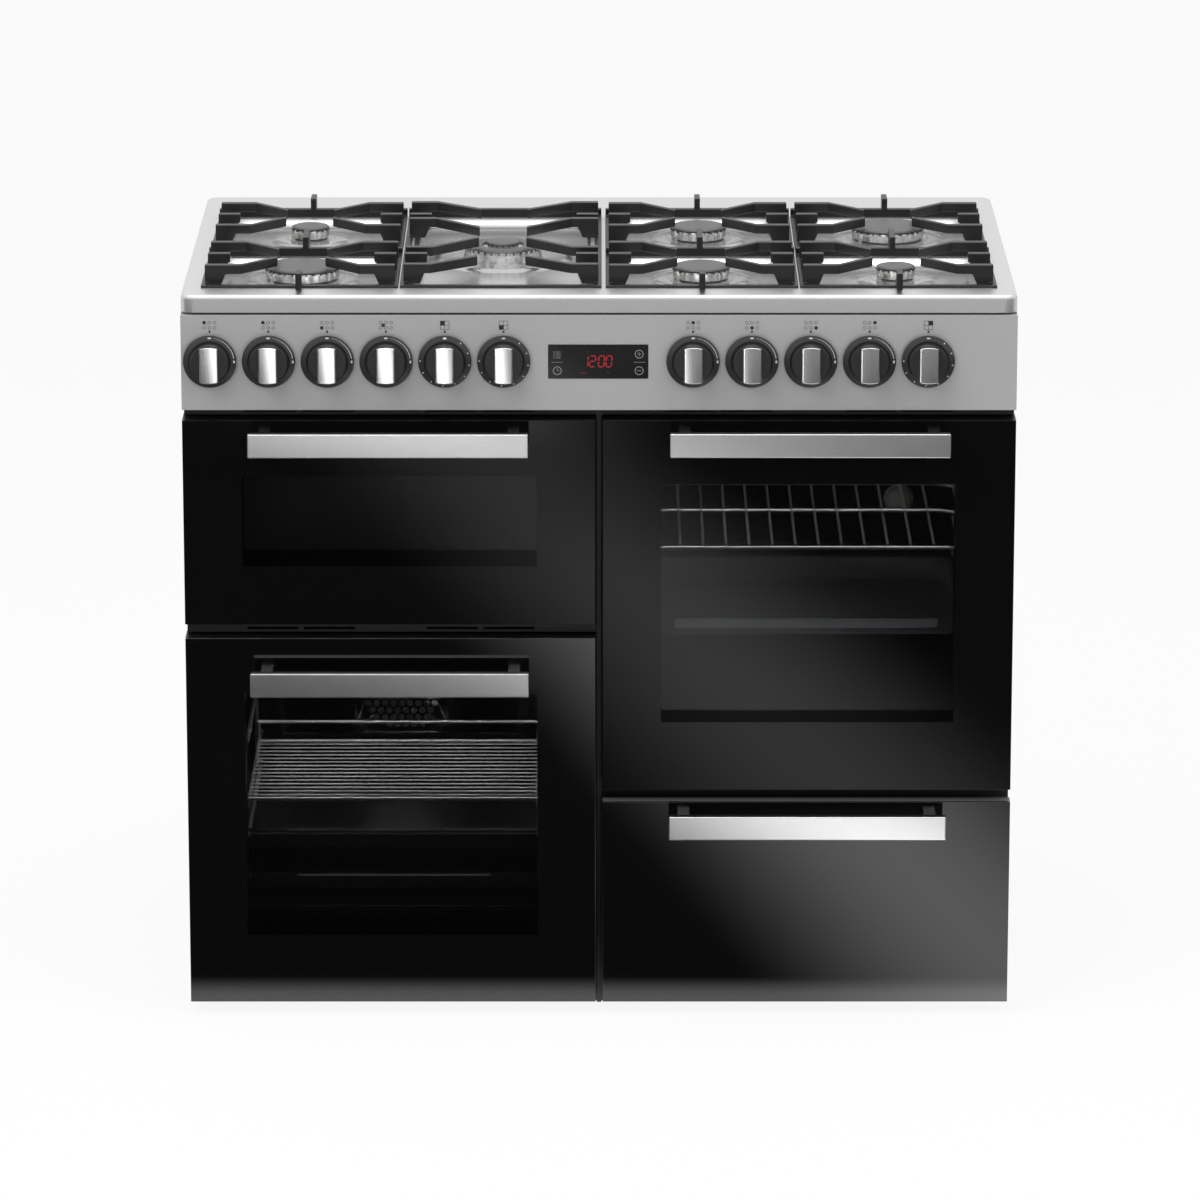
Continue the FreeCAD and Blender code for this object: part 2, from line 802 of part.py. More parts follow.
def build_burners():
    """Crowns, igniters and caps of six round burners and the wok burner."""
    crowns = []
    caps = []
    up = Vector(0, 0, 1)
    top = well_floor + crown_height
    for x, y, radius, ports in burners:
        crowns.append(crown(x, y, radius + cap_overhang, ports, well_floor, top))
        caps.append(turned([(radius, 0), (radius, cap_thickness)], cap_sides,
                           Vector(x, y, top), up))
        reach = (radius + cap_overhang + igniter_gap) * math.sqrt(0.5)
        crowns.append(prism_z(moved(polygon(igniter_radius, 4), x - reach, y - reach),
                              well_floor, well_floor + igniter_height))
    skirt_top = well_floor + wok_skirt_height
    skirt = [(wok_skirt_radius, 0), (wok_radius + cap_overhang, wok_skirt_height)]
    crowns.append(turned(skirt, cap_sides, Vector(wok_x, wok_y, well_floor), up))
    crowns.append(crown(wok_x, wok_y, wok_radius, wok_ports, skirt_top, top))
    base = Vector(wok_x, wok_y, top)
    ring_radius = wok_radius - cap_overhang
    ring = turned([(ring_radius, 0), (ring_radius, cap_thickness)], cap_sides, base, up)
    bore = turned([(wok_ring_bore, -overrun), (wok_ring_bore, overrun)], cap_sides, base, up)
    caps.append(ring.cut(bore))
    crowns.append(crown(wok_x, wok_y, wok_middle_radius, small_ports, top,
                        top + wok_middle_height))
    middle_radius = wok_middle_radius + cap_overhang
    caps.append(turned([(middle_radius, 0), (middle_radius, cap_thickness)], cap_sides,
                       base + Vector(0, 0, wok_middle_height), up))
    reach = (wok_skirt_radius + igniter_gap) * math.sqrt(0.5)
    crowns.append(prism_z(moved(polygon(igniter_radius, 4), wok_x - reach, wok_y - reach),
                          well_floor, well_floor + igniter_height))
    save("burner_crowns", *crowns)
    save("burner_caps", *caps)


def support_leg(x_out, side, y):
    """Tapered leg under the outer end of an arm or stub, down to the frame bar."""
    foot = hob_height
    head = support_top - arm_height
    corners = [(x_out, foot), (x_out, head), (x_out - side * leg_top, head),
               (x_out - side * leg_foot, foot)]
    return prism_y(corners, y - arm_width / 2, y + arm_width / 2)


def support_arm(middle, side, x_out, bend, y_outer, y_tip):
    """Arm that runs in from the side, then bends towards the burner."""
    half = arm_width / 2
    x_bend = middle + side * bend
    x_tip = middle + side * arm_tip
    corners = [(x_out, y_outer - half), (x_bend, y_outer - half), (x_tip, y_tip - half),
               (x_tip, y_tip + half), (x_bend, y_outer + half), (x_out, y_outer + half)]
    arm = prism_z(corners, support_top - arm_height, support_top)
    return [arm, support_leg(x_out, side, y_outer)]


def support_stub(side, x_out, y):
    """Short straight bar at the middle of a burner, on its own leg."""
    x_in = x_out - side * stub_length
    bar_solid = block(min(x_in, x_out), max(x_in, x_out), y - arm_width / 2, y + arm_width / 2,
                      support_top - arm_height, support_top)
    return [bar_solid, support_leg(x_out, side, y)]


def support_fingers(middle):
    """Three upright plates that point at the burners along y."""
    x0 = middle - finger_width / 2
    x1 = middle + finger_width / 2
    rear = rear_burner_y + cross_bar_offset
    mid = front_burner_y + cross_bar_offset
    mid_end = rear_burner_y - cross_bar_offset
    front_end = field_y - front_finger_reach
    front_corners = [(front_end, hob_height + bar_height), (front_end, support_top),
                     (front_end + front_finger_top, support_top),
                     (field_y + bar_width, hob_height + bar_height),
                     (field_y + bar_width, hob_height), (field_y, hob_height),
                     (field_y, hob_height + bar_height)]
    return [block(x0, x1, rear, rear + rear_finger_length, hob_height, support_top),
            block(x0, x1, mid, mid_end, hob_height, support_top),
            prism_x(front_corners, x0, x1)]


def pan_support(index):
    """One cast pan support: low frame, cross bars, bent arms, stubs and fingers."""
    x0, x1 = support_spans[index]
    middle = (x0 + x1) / 2
    y0 = field_y
    y1 = rear_burner_y + cross_bar_offset + cross_bar_width
    ring = block(x0, x1, y0, y1, hob_height, hob_height + bar_height)
    ring = ring.cut(block(x0 + bar_width, x1 - bar_width, y0 + bar_width, y1 - bar_width,
                          hob_height - overrun, hob_height + overrun))
    pieces = [ring, block(x0, x1, y1 - cross_bar_width, y1, hob_height,
                          hob_height + cross_bar_height)]
    if index == wok_index:
        bend = wok_arm_bend
        arms = [(wok_y + s * wok_inner_offset, wok_y + s * wok_inner_tip) for s in (-1, 1)]
        arms += [(wok_y + s * wok_outer_offset, wok_y + s * wok_outer_tip) for s in (-1, 1)]
    else:
        bend = arm_bend
        arms = [(y + s * arm_outer_offset, y + s * arm_tip_offset)
                for y in (front_burner_y, rear_burner_y) for s in (-1, 1)]
        mid = front_burner_y + cross_bar_offset
        pieces.append(block(x0, x1, mid, mid + cross_bar_width, hob_height,
                            hob_height + cross_bar_height))
        pieces += support_fingers(middle)
    for side in (-1, 1):
        x_out = (x0 if side < 0 else x1) - side * arm_end_inset
        for y_outer, y_tip in arms:
            pieces += support_arm(middle, side, x_out, bend, y_outer, y_tip)
        for y in (front_burner_y, rear_burner_y):
            pieces += support_stub(side, x_out, y)
    return fused(pieces)


def cavity(x, floor, ceiling, fan_hole=False):
    """Oven liner, a sheet box open at the front."""
    liner = block(x - cavity_half - sheet, x + cavity_half + sheet, frame_y,
                  cavity_back + sheet, floor - sheet, ceiling + sheet)
    inside = block(x - cavity_half, x + cavity_half, frame_y - overrun, cavity_back, floor,
                   ceiling)
    liner = liner.cut(inside)
    if fan_hole:
        hole = polygon(shaft_radius + shaft_hole_gap, 8)
        hole = moved(hole, x, (floor + ceiling) / 2)
        liner = liner.cut(prism_y(hole, cavity_back - overrun, cavity_back + overrun))
    return liner


def seal_ring(x, floor, ceiling):
    """Flat seal on the front frame round an oven mouth."""
    inner = cavity_half + sheet + seal_gap
    outer = inner + seal_width
    low = sheet + seal_gap
    ring = block(x - outer, x + outer, frame_y - seal_thickness, frame_y,
                 floor - low - seal_width, ceiling + low + seal_width)
    return ring.cut(block(x - inner, x + inner, frame_y - seal_thickness - overrun,
                          frame_y + overrun, floor - low, ceiling + low))


def build_ovens():
    """Three liners and their door seals."""
    save("grill_cavity", cavity(-column_x, grill_cavity_floor, upper_ceiling))
    save("fan_oven_cavity", cavity(-column_x, fan_cavity_floor, fan_ceiling, True))
    save("main_oven_cavity", cavity(column_x, main_cavity_floor, upper_ceiling))
    save("door_seals", seal_ring(-column_x, grill_cavity_floor, upper_ceiling),
         seal_ring(-column_x, fan_cavity_floor, fan_ceiling),
         seal_ring(column_x, main_cavity_floor, upper_ceiling))


def wire_bar(a, b):
    """Straight length of wire."""
    return bar([a, b], wire / 2)


def rung_levels(floor, ceiling, shares):
    """Heights of an oven's rungs, spread between the lowest one and the ceiling."""
    lowest = floor + lowest_rung_rise
    return [lowest + share * (ceiling - lowest) for share in shares]


def side_rack(x, hand, floor, ceiling, levels):
    """Ladder of wires against one wall of an oven."""
    wall = x + hand * cavity_half
    y0 = frame_y + rack_front_setback
    y1 = y0 + rack_length
    post_x = wall - hand * wire / 2
    rung_x = post_x - hand * wire
    pieces = []
    for y in (y0, y1):
        pieces.append(wire_bar(Vector(post_x, y, floor + rack_end_margin),
                               Vector(post_x, y, ceiling - rack_end_margin)))
    for z in levels:
        pieces.append(wire_bar(Vector(rung_x, y0 - rack_end_margin, z),
                               Vector(rung_x, y1 + rack_end_margin, z)))
    return pieces


def build_racks_and_shelves():
    """Side racks of both ovens, the two wire shelves and the trays on the rungs."""
    fan_rungs = rung_levels(fan_cavity_floor, fan_ceiling, fan_rung_shares)
    main_rungs = rung_levels(main_cavity_floor, upper_ceiling, main_rung_shares)
    racks = []
    for hand in (-1, 1):
        racks += side_rack(-column_x, hand, fan_cavity_floor, fan_ceiling, fan_rungs)
        racks += side_rack(column_x, hand, main_cavity_floor, upper_ceiling, main_rungs)
    save("side_racks", *racks)

    side = cavity_half - wire - shelf_side_clearance - wire / 2
    y0 = frame_y + shelf_front_setback
    z_rail = fan_rungs[rungs_below_shelf_count] + wire
    z_bar = z_rail + wire
    y_last = y0 + (fan_shelf_bars - 1) * fan_shelf_pitch
    shelf = []
    for hand in (-1, 1):
        x = -column_x + hand * side
        shelf.append(wire_bar(Vector(x, y0 - wire, z_rail), Vector(x, y_last + wire, z_rail)))
        shelf.append(wire_bar(Vector(x, y_last, z_bar + wire / 2),
                              Vector(x, y_last, z_bar + back_stop_rise)))
    for i in range(fan_shelf_bars):
        y = y0 + i * fan_shelf_pitch
        shelf.append(wire_bar(Vector(-column_x - side - wire / 2, y, z_bar),
                              Vector(-column_x + side + wire / 2, y, z_bar)))
    z_stop = z_bar + back_stop_rise + wire / 2
    shelf.append(wire_bar(Vector(-column_x - side - wire / 2, y_last, z_stop),
                          Vector(-column_x + side + wire / 2, y_last, z_stop)))

    z_rail = main_rungs[rungs_below_shelf_count] + wire
    z_bar = z_rail + wire
    for y in (y0, y0 + main_shelf_cross, y0 + main_shelf_depth):
        shelf.append(wire_bar(Vector(column_x - side - wire / 2, y, z_rail),
                              Vector(column_x + side + wire / 2, y, z_rail)))
    for i in range(main_shelf_bars):
        x = column_x + (i - (main_shelf_bars - 1) / 2) * main_shelf_pitch
        shelf.append(wire_bar(Vector(x, y0 - wire / 2, z_bar),
                              Vector(x, y0 + main_shelf_depth + wire / 2, z_bar)))
    save("wire_shelves", *shelf)

    save("oven_trays", tray(-column_x, fan_rungs[rungs_below_fan_tray_count]),
         tray(-column_x, fan_rungs[rungs_below_low_tray_count]),
         tray(column_x, main_rungs[rungs_below_main_tray_count]))


def plan_wire(x, y, half_x, half_y, z):
    """Closed rectangle in plan."""
    corners = [(x - half_x, y - half_y), (x + half_x, y - half_y),
               (x + half_x, y + half_y), (x - half_x, y + half_y)]
    points = [Vector(a, b, z) for a, b in corners]
    return Part.makePolygon(points + points[:1])


def tray(x, rung_z):
    """Tapered tray that hangs by its rim on a pair of rungs."""
    rim_z = rung_z + wire / 2
    rim_half = cavity_half - wire - shelf_side_clearance
    mouth = rim_half - tray_rim
    y = frame_y + rack_front_setback + tray_depth / 2
    half_y = tray_depth / 2 - tray_rim
    low = rim_z - tray_height
    outer = Part.makeLoft([plan_wire(x, y, mouth - tray_taper, half_y - tray_taper, low),
                           plan_wire(x, y, mouth, half_y, rim_z + tray_wall)], True, True)
    rim = block(x - rim_half, x + rim_half, y - tray_depth / 2, y + tray_depth / 2, rim_z,
                rim_z + tray_wall)
    inner = Part.makeLoft([plan_wire(x, y, mouth - tray_taper - tray_wall,
                                     half_y - tray_taper - tray_wall, low + tray_wall),
                           plan_wire(x, y, mouth - tray_wall, half_y - tray_wall,
                                     rim_z + tray_wall)], True, True)
    return fused([outer, rim]).cut(inner)


def build_lamps():
    """Round glass caps of the oven lamps, on the back walls."""
    lamps = []
    for x, z in ((-column_x, fan_ceiling - fan_lamp_drop),
                 (column_x, main_cavity_floor + main_lamp_rise)):
        spot = Vector(x + lamp_offset_x, cavity_back, z)
        lamps.append(turned([(lamp_radius, 0), (lamp_radius, lamp_height)], lamp_sides, spot,
                            Vector(0, -1, 0)))
    save("oven_lamps", *lamps)


def element_path(x, z):
    """Flat run of an element, back and forth under a ceiling, from the back wall."""
    count = element_runs
    x0 = x - (count - 1) / 2 * element_pitch
    y_near = cavity_back - element_run_length - element_corner
    y_far = cavity_back - element_corner - 2 * element_radius
    points = [Vector(x0, cavity_back, z)]
    for i in range(count):
        here = x0 + i * element_pitch
        there = here + element_pitch
        turn_y, mid_y = (y_near, y_near + element_corner)
        if i % 2:
            turn_y, mid_y = (y_far, y_far - element_corner)
        if i == count - 1:
            points.append(Vector(here, cavity_back, z))
            break
        points.append(Vector(here, mid_y, z))
        points.append(Vector(here + element_corner, turn_y, z))
        points.append(Vector(there - element_corner, turn_y, z))
        points.append(Vector(there, mid_y, z))
    return points


def build_heating():
    """Grill element, main oven top element and the ring element round the fan."""
    grill = bar(element_path(-column_x, upper_ceiling - element_drop), element_radius)
    top = bar(element_path(column_x, upper_ceiling - element_drop), element_radius)
    y = cavity_back - fan_cover_depth / 2
    step = 2 * math.pi / ring_element_sides
    ring = [Vector(fan_x + ring_element_radius * math.sin((i + 0.5) * step), y,
                   fan_z - ring_element_radius * math.cos((i + 0.5) * step))
            for i in range(ring_element_sides)]
    path = [Vector(ring[0].x, cavity_back, ring[0].z)] + ring
    path.append(Vector(ring[-1].x, cavity_back, ring[-1].z))
    save("heating_elements", grill, top, bar(path, element_radius))


def build_fan(modules):
    """Cover over the fan, the impeller on its shaft, and the motor behind the liner."""
    x = fan_x
    z = fan_z
    face = cavity_back - fan_cover_depth
    cover = block(x - fan_cover_half_width, x + fan_cover_half_width, face, cavity_back,
                  z - fan_cover_half_height, z + fan_cover_half_height)
    cover = cover.cut(block(x - fan_cover_half_width + sheet, x + fan_cover_half_width - sheet,
                            face + sheet, cavity_back + overrun,
                            z - fan_cover_half_height + sheet,
                            z + fan_cover_half_height - sheet))
    holes = []
    row_pitch = cover_hole_pitch * math.sqrt(0.75)
    for row in (-1, 0, 1):
        in_row = cover_holes_across - abs(row)
        for i in range(in_row):
            hx = x + (i - (in_row - 1) / 2) * cover_hole_pitch
            hole = moved(polygon(cover_hole_radius, 6, math.pi / 6), hx, z + row * row_pitch)
            holes.append(prism_y(hole, face - overrun, face + sheet + overrun))
    for hand_x in (-1, 1):
        for hand_z in (-1, 1):
            sx = x + hand_x * cover_slot_x
            sz = z + hand_z * cover_slot_z
            holes.append(block(sx - cover_slot_length / 2, sx + cover_slot_length / 2,
                               face - overrun, face + sheet + overrun,
                               sz - cover_slot_height / 2, sz + cover_slot_height / 2))
    save("fan_cover", cover.cut(holes))

    plate_back = cavity_back - impeller_back_gap
    plate_front = plate_back - impeller_plate
    motor_front = cavity_back + sheet
    length = motor_front + motor_depth - plate_front
    away = Vector(0, 1, 0)
    rim = turned([(impeller_radius, 0), (impeller_radius, impeller_plate)], 2 * blade_count,
                 Vector(x, plate_front, z), away)
    hub = prism_y(moved(polygon(hub_radius, 6), x, z), plate_front - blade_height, plate_front)
    shaft = Part.makeCylinder(shaft_radius, length, Vector(x, plate_front, z), away)
    wheel = [rim, hub, shaft]
    for i in range(blade_count):
        blade = prism_y([(blade_inner_radius, 0), (impeller_radius - blade_thickness, blade_lean),
                         (impeller_radius - blade_thickness, blade_lean + blade_thickness),
                         (blade_inner_radius, blade_thickness)],
                        plate_front - blade_height, plate_front)
        blade.rotate(Vector(0, 0, 0), Vector(0, 1, 0), 360.0 * i / blade_count)
        blade.translate(Vector(x, 0, z))
        wheel.append(blade)
    save("fan_impeller", fused(wheel))

    motor = block(x - motor_half, x + motor_half, motor_front, motor_front + motor_depth,
                  z - motor_half, z + motor_half)
    bore = Part.makeCylinder(shaft_radius + pin_running_gap, motor_depth + 2 * overrun,
                             Vector(x, motor_front - overrun, z), Vector(0, 1, 0))
    save("electrical_units", *modules, motor.cut(bore))


def handle(x, z_bottom):
    """Flat bar with bevelled edges on two posts."""
    outer = front - handle_reach
    inner = outer + handle_thickness
    b = handle_bevel
    z_top = z_bottom + handle_height
    corners = [(outer + b, z_bottom), (inner, z_bottom), (inner, z_top), (outer + b, z_top),
               (outer, z_top - b), (outer, z_bottom + b)]
    pieces = [prism_x(corners, x - handle_length / 2, x + handle_length / 2)]
    z_mid = z_bottom + handle_height / 2
    for hand in (-1, 1):
        px = x + hand * (handle_length / 2 - handle_post_inset)
        pieces.append(block(px - handle_post_width / 2, px + handle_post_width / 2, inner, front,
                            z_mid - handle_post_height / 2, z_mid + handle_post_height / 2))
    return fused(pieces)


def hinge_cartridge(x, z_bottom):
    """Two cheeks and the pin between them, inside a door's lower corner."""
    axis_y = front + hinge_inset
    axis_z = z_bottom + hinge_rise
    slot = hook_thickness / 2 + notch_side_gap
    y0 = front + pane + sheet
    y1 = y0 + cheek_depth
    cheeks = []
    for hand in (-1, 1):
        a = x + hand * slot
        b = x + hand * (slot + cheek_thickness)
        cheeks.append(block(min(a, b), max(a, b), y0, y1, z_bottom + sheet,
                            z_bottom + sheet + cheek_height))
    pin = Part.makeCylinder(hinge_pin_radius, 2 * slot, Vector(x - slot, axis_y, axis_z),
                            Vector(1, 0, 0))
    return fused(cheeks[:1] + [pin] + cheeks[1:])


def door(name, x, z_bottom, height, window_shares, handle_drop):
    """Drop-down door: folded tray, outer and inner panes, hinge pins and handle."""
    half = door_width / 2
    z_top = z_bottom + height
    glass_y = front + pane
    rear = front + door_thickness
    window_half = window_width / 2
    w0, w1 = [z_bottom + share * height for share in window_shares]
    shell = block(x - half, x + half, glass_y, rear, z_bottom, z_top)
    shell = shell.cut(block(x - half + sheet, x + half - sheet, glass_y - overrun, rear - sheet,
                            z_bottom + sheet, z_top - sheet))
    collar = block(x - window_half - sheet, x + window_half + sheet, glass_y, rear, w0 - sheet,
                   w1 + sheet)
    shell = fused([shell, collar])
    cuts = [block(x - window_half, x + window_half, glass_y - overrun, rear - sheet, w0, w1),
            block(x - window_half + pane_lip, x + window_half - pane_lip, glass_y,
                  rear + overrun, w0 + pane_lip, w1 - pane_lip)]
    notch_half = hook_thickness / 2 + notch_side_gap
    hooks = [x + hand * hinge_offset for hand in (-1, 1)]
    for hook_x in hooks:
        cuts.append(block(hook_x - notch_half, hook_x + notch_half, glass_y - overrun,
                          rear + overrun, z_bottom - overrun,
                          z_bottom + hinge_rise + hook_radius + notch_head_gap))
    hinges = [hinge_cartridge(hook_x, z_bottom) for hook_x in hooks]
    save(name + "_door_frame", shell.cut(cuts), *hinges)
    outer = block(x - half, x + half, front, glass_y, z_bottom, z_top)
    inner = block(x - window_half, x + window_half, rear - sheet - pane, rear - sheet, w0, w1)
    save(name + "_door_glass", outer, inner)
    save(name + "_door_handle", handle(x, z_top - handle_drop))


def build_doors():
    """The three oven doors."""
    door("grill", -column_x, grill_door_bottom, grill_door_height, grill_window_shares,
         grill_handle_drop)
    door("fan_oven", -column_x, plinth_gap, lower_door_height, fan_window_shares,
         fan_handle_drop)
    door("main_oven", column_x, main_door_bottom, lower_door_height, main_window_shares,
         main_handle_drop)


def build_drawer():
    """Storage drawer with its glass front, slides and the fixed runners."""
    x = column_x
    half = door_width / 2
    tray_back = front + drawer_tray_depth
    save("drawer_glass", block(x - half, x + half, front, front + pane, plinth_gap, drawer_top))
    save("drawer_handle", handle(x, drawer_top - drawer_handle_drop))

    backing = block(x - half, x + half, front + pane, tray_back, plinth_gap, drawer_top)
    backing = backing.cut(block(x - half + sheet, x + half - sheet, front + pane - overrun,
                                tray_back - sheet, plinth_gap + sheet, drawer_top - sheet))
    z0 = drawer_floor
    z1 = drawer_rim
    y1 = tray_back + drawer_box_length
    bin_box = block(x - drawer_box_half, x + drawer_box_half, tray_back, y1, z0, z1)
    bin_box = bin_box.cut(block(x - drawer_box_half + drawer_wall,
                                x + drawer_box_half - drawer_wall, tray_back,
                                y1 - drawer_wall, z0 + drawer_wall, z1 + overrun))
    slide_z = z0 + runner_share * (z1 - z0)
    slides = []
    for hand in (-1, 1):
        a = x + hand * drawer_box_half
        b = x + hand * (drawer_box_half + slide_depth)
        slides.append(block(min(a, b), max(a, b), tray_back, y1, slide_z,
                            slide_z + slide_height))
    save("drawer_box", fused([backing, bin_box] + slides))

    runners = []
    for hand in (-1, 1):
        near = x + hand * (drawer_box_half + slide_gap)
        web = x + hand * (drawer_box_half + slide_depth + slide_gap)
        outer = web + hand * runner_wall
        low = slide_z - slide_gap - runner_wall
        high = slide_z + slide_height + slide_gap + runner_wall
        y0 = frame_y + sheet
        pieces = [block(min(web, outer), max(web, outer), y0, y1, base_z + sheet, high),
                  block(min(near, web), max(near, web), y0, y1, low, low + runner_wall),
                  block(min(near, web), max(near, web), y0, y1, high - runner_wall, high)]
        runners.append(fused(pieces))
    save("drawer_runners", *runners)


build_case()
build_front_frame()
build_front_fittings()
control_modules = build_control_panel()
build_knobs()
build_gas_train()
build_hob()
build_burners()
for support_index in range(len(support_spans)):
    save("pan_support_%d" % (support_index + 1), pan_support(support_index))
build_ovens()
build_racks_and_shelves()
build_lamps()
build_heating()
build_fan(control_modules)
build_doors()
build_drawer()
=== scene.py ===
import json
import math
from collections import namedtuple

import bmesh
import bpy
from mathutils import Matrix, Vector

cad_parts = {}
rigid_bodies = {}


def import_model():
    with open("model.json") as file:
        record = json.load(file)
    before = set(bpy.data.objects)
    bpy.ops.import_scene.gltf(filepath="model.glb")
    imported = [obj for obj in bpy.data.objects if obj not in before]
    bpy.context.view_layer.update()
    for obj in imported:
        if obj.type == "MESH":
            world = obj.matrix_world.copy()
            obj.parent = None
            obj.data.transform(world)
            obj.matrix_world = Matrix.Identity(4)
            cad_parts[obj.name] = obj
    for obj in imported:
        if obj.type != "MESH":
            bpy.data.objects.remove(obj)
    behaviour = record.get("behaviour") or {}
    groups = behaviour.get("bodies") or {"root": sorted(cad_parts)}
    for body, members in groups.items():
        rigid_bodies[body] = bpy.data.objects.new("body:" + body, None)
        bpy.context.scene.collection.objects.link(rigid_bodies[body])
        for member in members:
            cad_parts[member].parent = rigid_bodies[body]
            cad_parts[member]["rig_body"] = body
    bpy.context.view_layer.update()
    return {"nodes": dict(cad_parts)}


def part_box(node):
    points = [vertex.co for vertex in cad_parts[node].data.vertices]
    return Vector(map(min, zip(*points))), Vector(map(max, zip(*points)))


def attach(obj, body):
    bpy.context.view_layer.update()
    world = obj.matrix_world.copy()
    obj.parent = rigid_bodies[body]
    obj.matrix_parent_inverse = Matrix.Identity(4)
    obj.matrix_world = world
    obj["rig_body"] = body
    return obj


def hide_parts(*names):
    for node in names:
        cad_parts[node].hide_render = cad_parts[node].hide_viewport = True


bl_info = {
    "name": "Range cooker",
    "version": (1, 0, 0),
    "blender": (4, 5, 0),
    "location": "3D View > Sidebar > Cooker",
    "description": "Builds the looks of a range cooker round its packed CAD model",
    "category": "Add Mesh",
}

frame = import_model()
NODES = frame["nodes"]
MM = 0.001
FLIP_Y = Matrix.Rotation(math.pi / 2, 4, "X")


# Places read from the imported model

def box_mm(node):
    """Lowest and highest corner of a node, in millimetres."""
    low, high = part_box(node)
    return low / MM, high / MM


HOB_LOW, HOB_HIGH = box_mm("hob_top")
FRONT = box_mm("control_panel")[0].y
SUPPORTS = ["pan_support_%d" % i for i in range(1, 5)]
GAS_KNOBS = ["gas_knob_%d" % i for i in range(1, 9)]
OVEN_KNOBS = ["oven_knob_%d" % i for i in range(1, 4)]


# Settings

def linear(colour):
    """Linear RGBA of an sRGB hex value; a colour setting is linear already."""
    if not isinstance(colour, str):
        return tuple(colour)
    parts = [int(colour[i:i + 2], 16) / 255 for i in (1, 3, 5)]
    return tuple(c / 12.92 if c <= 0.04045 else ((c + 0.055) / 1.055) ** 2.4
                 for c in parts) + (1.0,)


class CookerSizes(bpy.types.PropertyGroup):
    """Sizes that a user would change."""
    hob_edge: bpy.props.FloatProperty(
        name="Hob edge radius", description="Rounding of the hob's outer edge",
        default=5.0 * MM, unit="LENGTH")
    well_depth: bpy.props.FloatProperty(
        name="Well depth", description="How far the hob is pressed down round the burners",
        default=9.7 * MM, unit="LENGTH")
    well_slope: bpy.props.FloatProperty(
        name="Well slope", description="Plan width of a well's sloped wall",
        default=16.0 * MM, unit="LENGTH")
    iron_edge: bpy.props.FloatProperty(
        name="Iron edge", description="Edge rounding of the cast pan supports",
        default=1.4 * MM, unit="LENGTH")
    steel_edge: bpy.props.FloatProperty(
        name="Steel edge", description="Edge rounding of the control panel",
        default=0.8 * MM, unit="LENGTH")
    wire_radius: bpy.props.FloatProperty(
        name="Wire radius", description="Radius of the shelf wires",
        default=2.4 * MM, unit="LENGTH")


class CookerColours(bpy.types.PropertyGroup):
    """Colours that a user would change."""
    hob_steel: bpy.props.FloatVectorProperty(
        name="Hob steel", description="Satin steel of the hob",
        default=linear("#E0E0E0"), size=4, subtype="COLOR")
    # Darker than the hob steel: painted shade of steel that faces the front.
    panel_steel: bpy.props.FloatVectorProperty(
        name="Panel steel", description="Satin steel of the control panel",
        default=linear("#ABABAB"), size=4, subtype="COLOR")
    glass_black: bpy.props.FloatVectorProperty(
        name="Glass black", description="Print behind the glass fronts",
        default=linear("#0A0A0A"), size=4, subtype="COLOR")
    clock_red: bpy.props.FloatVectorProperty(
        name="Clock red", description="Light of the clock's digits",
        default=linear("#98161C"), size=4, subtype="COLOR")


def size_mm(name):
    """One of the scene's size settings, in millimetres."""
    return getattr(bpy.context.scene.cooker_sizes, name) / MM


def colours():
    """The scene's colour settings."""
    return bpy.context.scene.cooker_colours


# Materials

def add(tree, kind, settings=None, links=None):
    """Adds a shader node with its settings, and links its inputs."""
    made = tree.nodes.new(kind)
    for key, value in (settings or {}).items():
        if isinstance(key, int) or key in made.inputs:
            made.inputs[key].default_value = value
        else:
            setattr(made, key, value)
    for key, source in (links or {}).items():
        tree.links.new(source, made.inputs[key])
    return made


def start_material(name, colour, rough, metal=0.0, more=None):
    """New material with one principled surface; returns it with its tree and shader."""
    material = bpy.data.materials.new(name)
    material.use_nodes = True
    tree = material.node_tree
    shader = tree.nodes["Principled BSDF"]
    values = {"Base Color": linear(colour), "Roughness": rough, "Metallic": metal}
    values.update(more or {})
    for key, value in values.items():
        shader.inputs[key].default_value = value
    return material, tree, shader


def grain(tree, size, detail=2.0):
    """Noise with grains of a real size in millimetres, fixed to the piece."""
    coords = add(tree, "ShaderNodeTexCoord")
    return add(tree, "ShaderNodeTexNoise", {"Scale": 1 / (size * MM), "Detail": detail},
               {"Vector": coords.outputs["Object"]})


def vary_roughness(tree, shader, size, low, high, detail=4.0, stretch=(1, 1, 1)):
    """Lets noise of a real grain size in millimetres move the roughness between two values."""
    coords = add(tree, "ShaderNodeTexCoord")
    mapping = add(tree, "ShaderNodeMapping", {"Scale": stretch},
                  {"Vector": coords.outputs["Object"]})
    noise = add(tree, "ShaderNodeTexNoise", {"Scale": 1 / (size * MM), "Detail": detail},
                {"Vector": mapping.outputs["Vector"]})
    spread = add(tree, "ShaderNodeMapRange", {"To Min": low, "To Max": high},
                 {"Value": noise.outputs["Fac"]})
    tree.links.new(spread.outputs["Result"], shader.inputs["Roughness"])
    return noise


def vary_colour(tree, shader, noise, dark, light, low=0.35, high=0.65):
    """Lets a noise move the base colour between two hex values."""
    ramp = add(tree, "ShaderNodeValToRGB", {}, {"Fac": noise.outputs["Fac"]})
    for stop, place, colour in zip(ramp.color_ramp.elements, (low, high), (dark, light)):
        stop.position = place
        stop.color = linear(colour)
    tree.links.new(ramp.outputs["Color"], shader.inputs["Base Color"])


def roughen(tree, shader, noise, strength, depth):
    """Gives the surface a fine relief of a depth in millimetres."""
    relief = add(tree, "ShaderNodeBump", {"Strength": strength, "Distance": depth * MM},
                 {"Height": noise.outputs["Fac"]})
    tree.links.new(relief.outputs["Normal"], shader.inputs["Normal"])


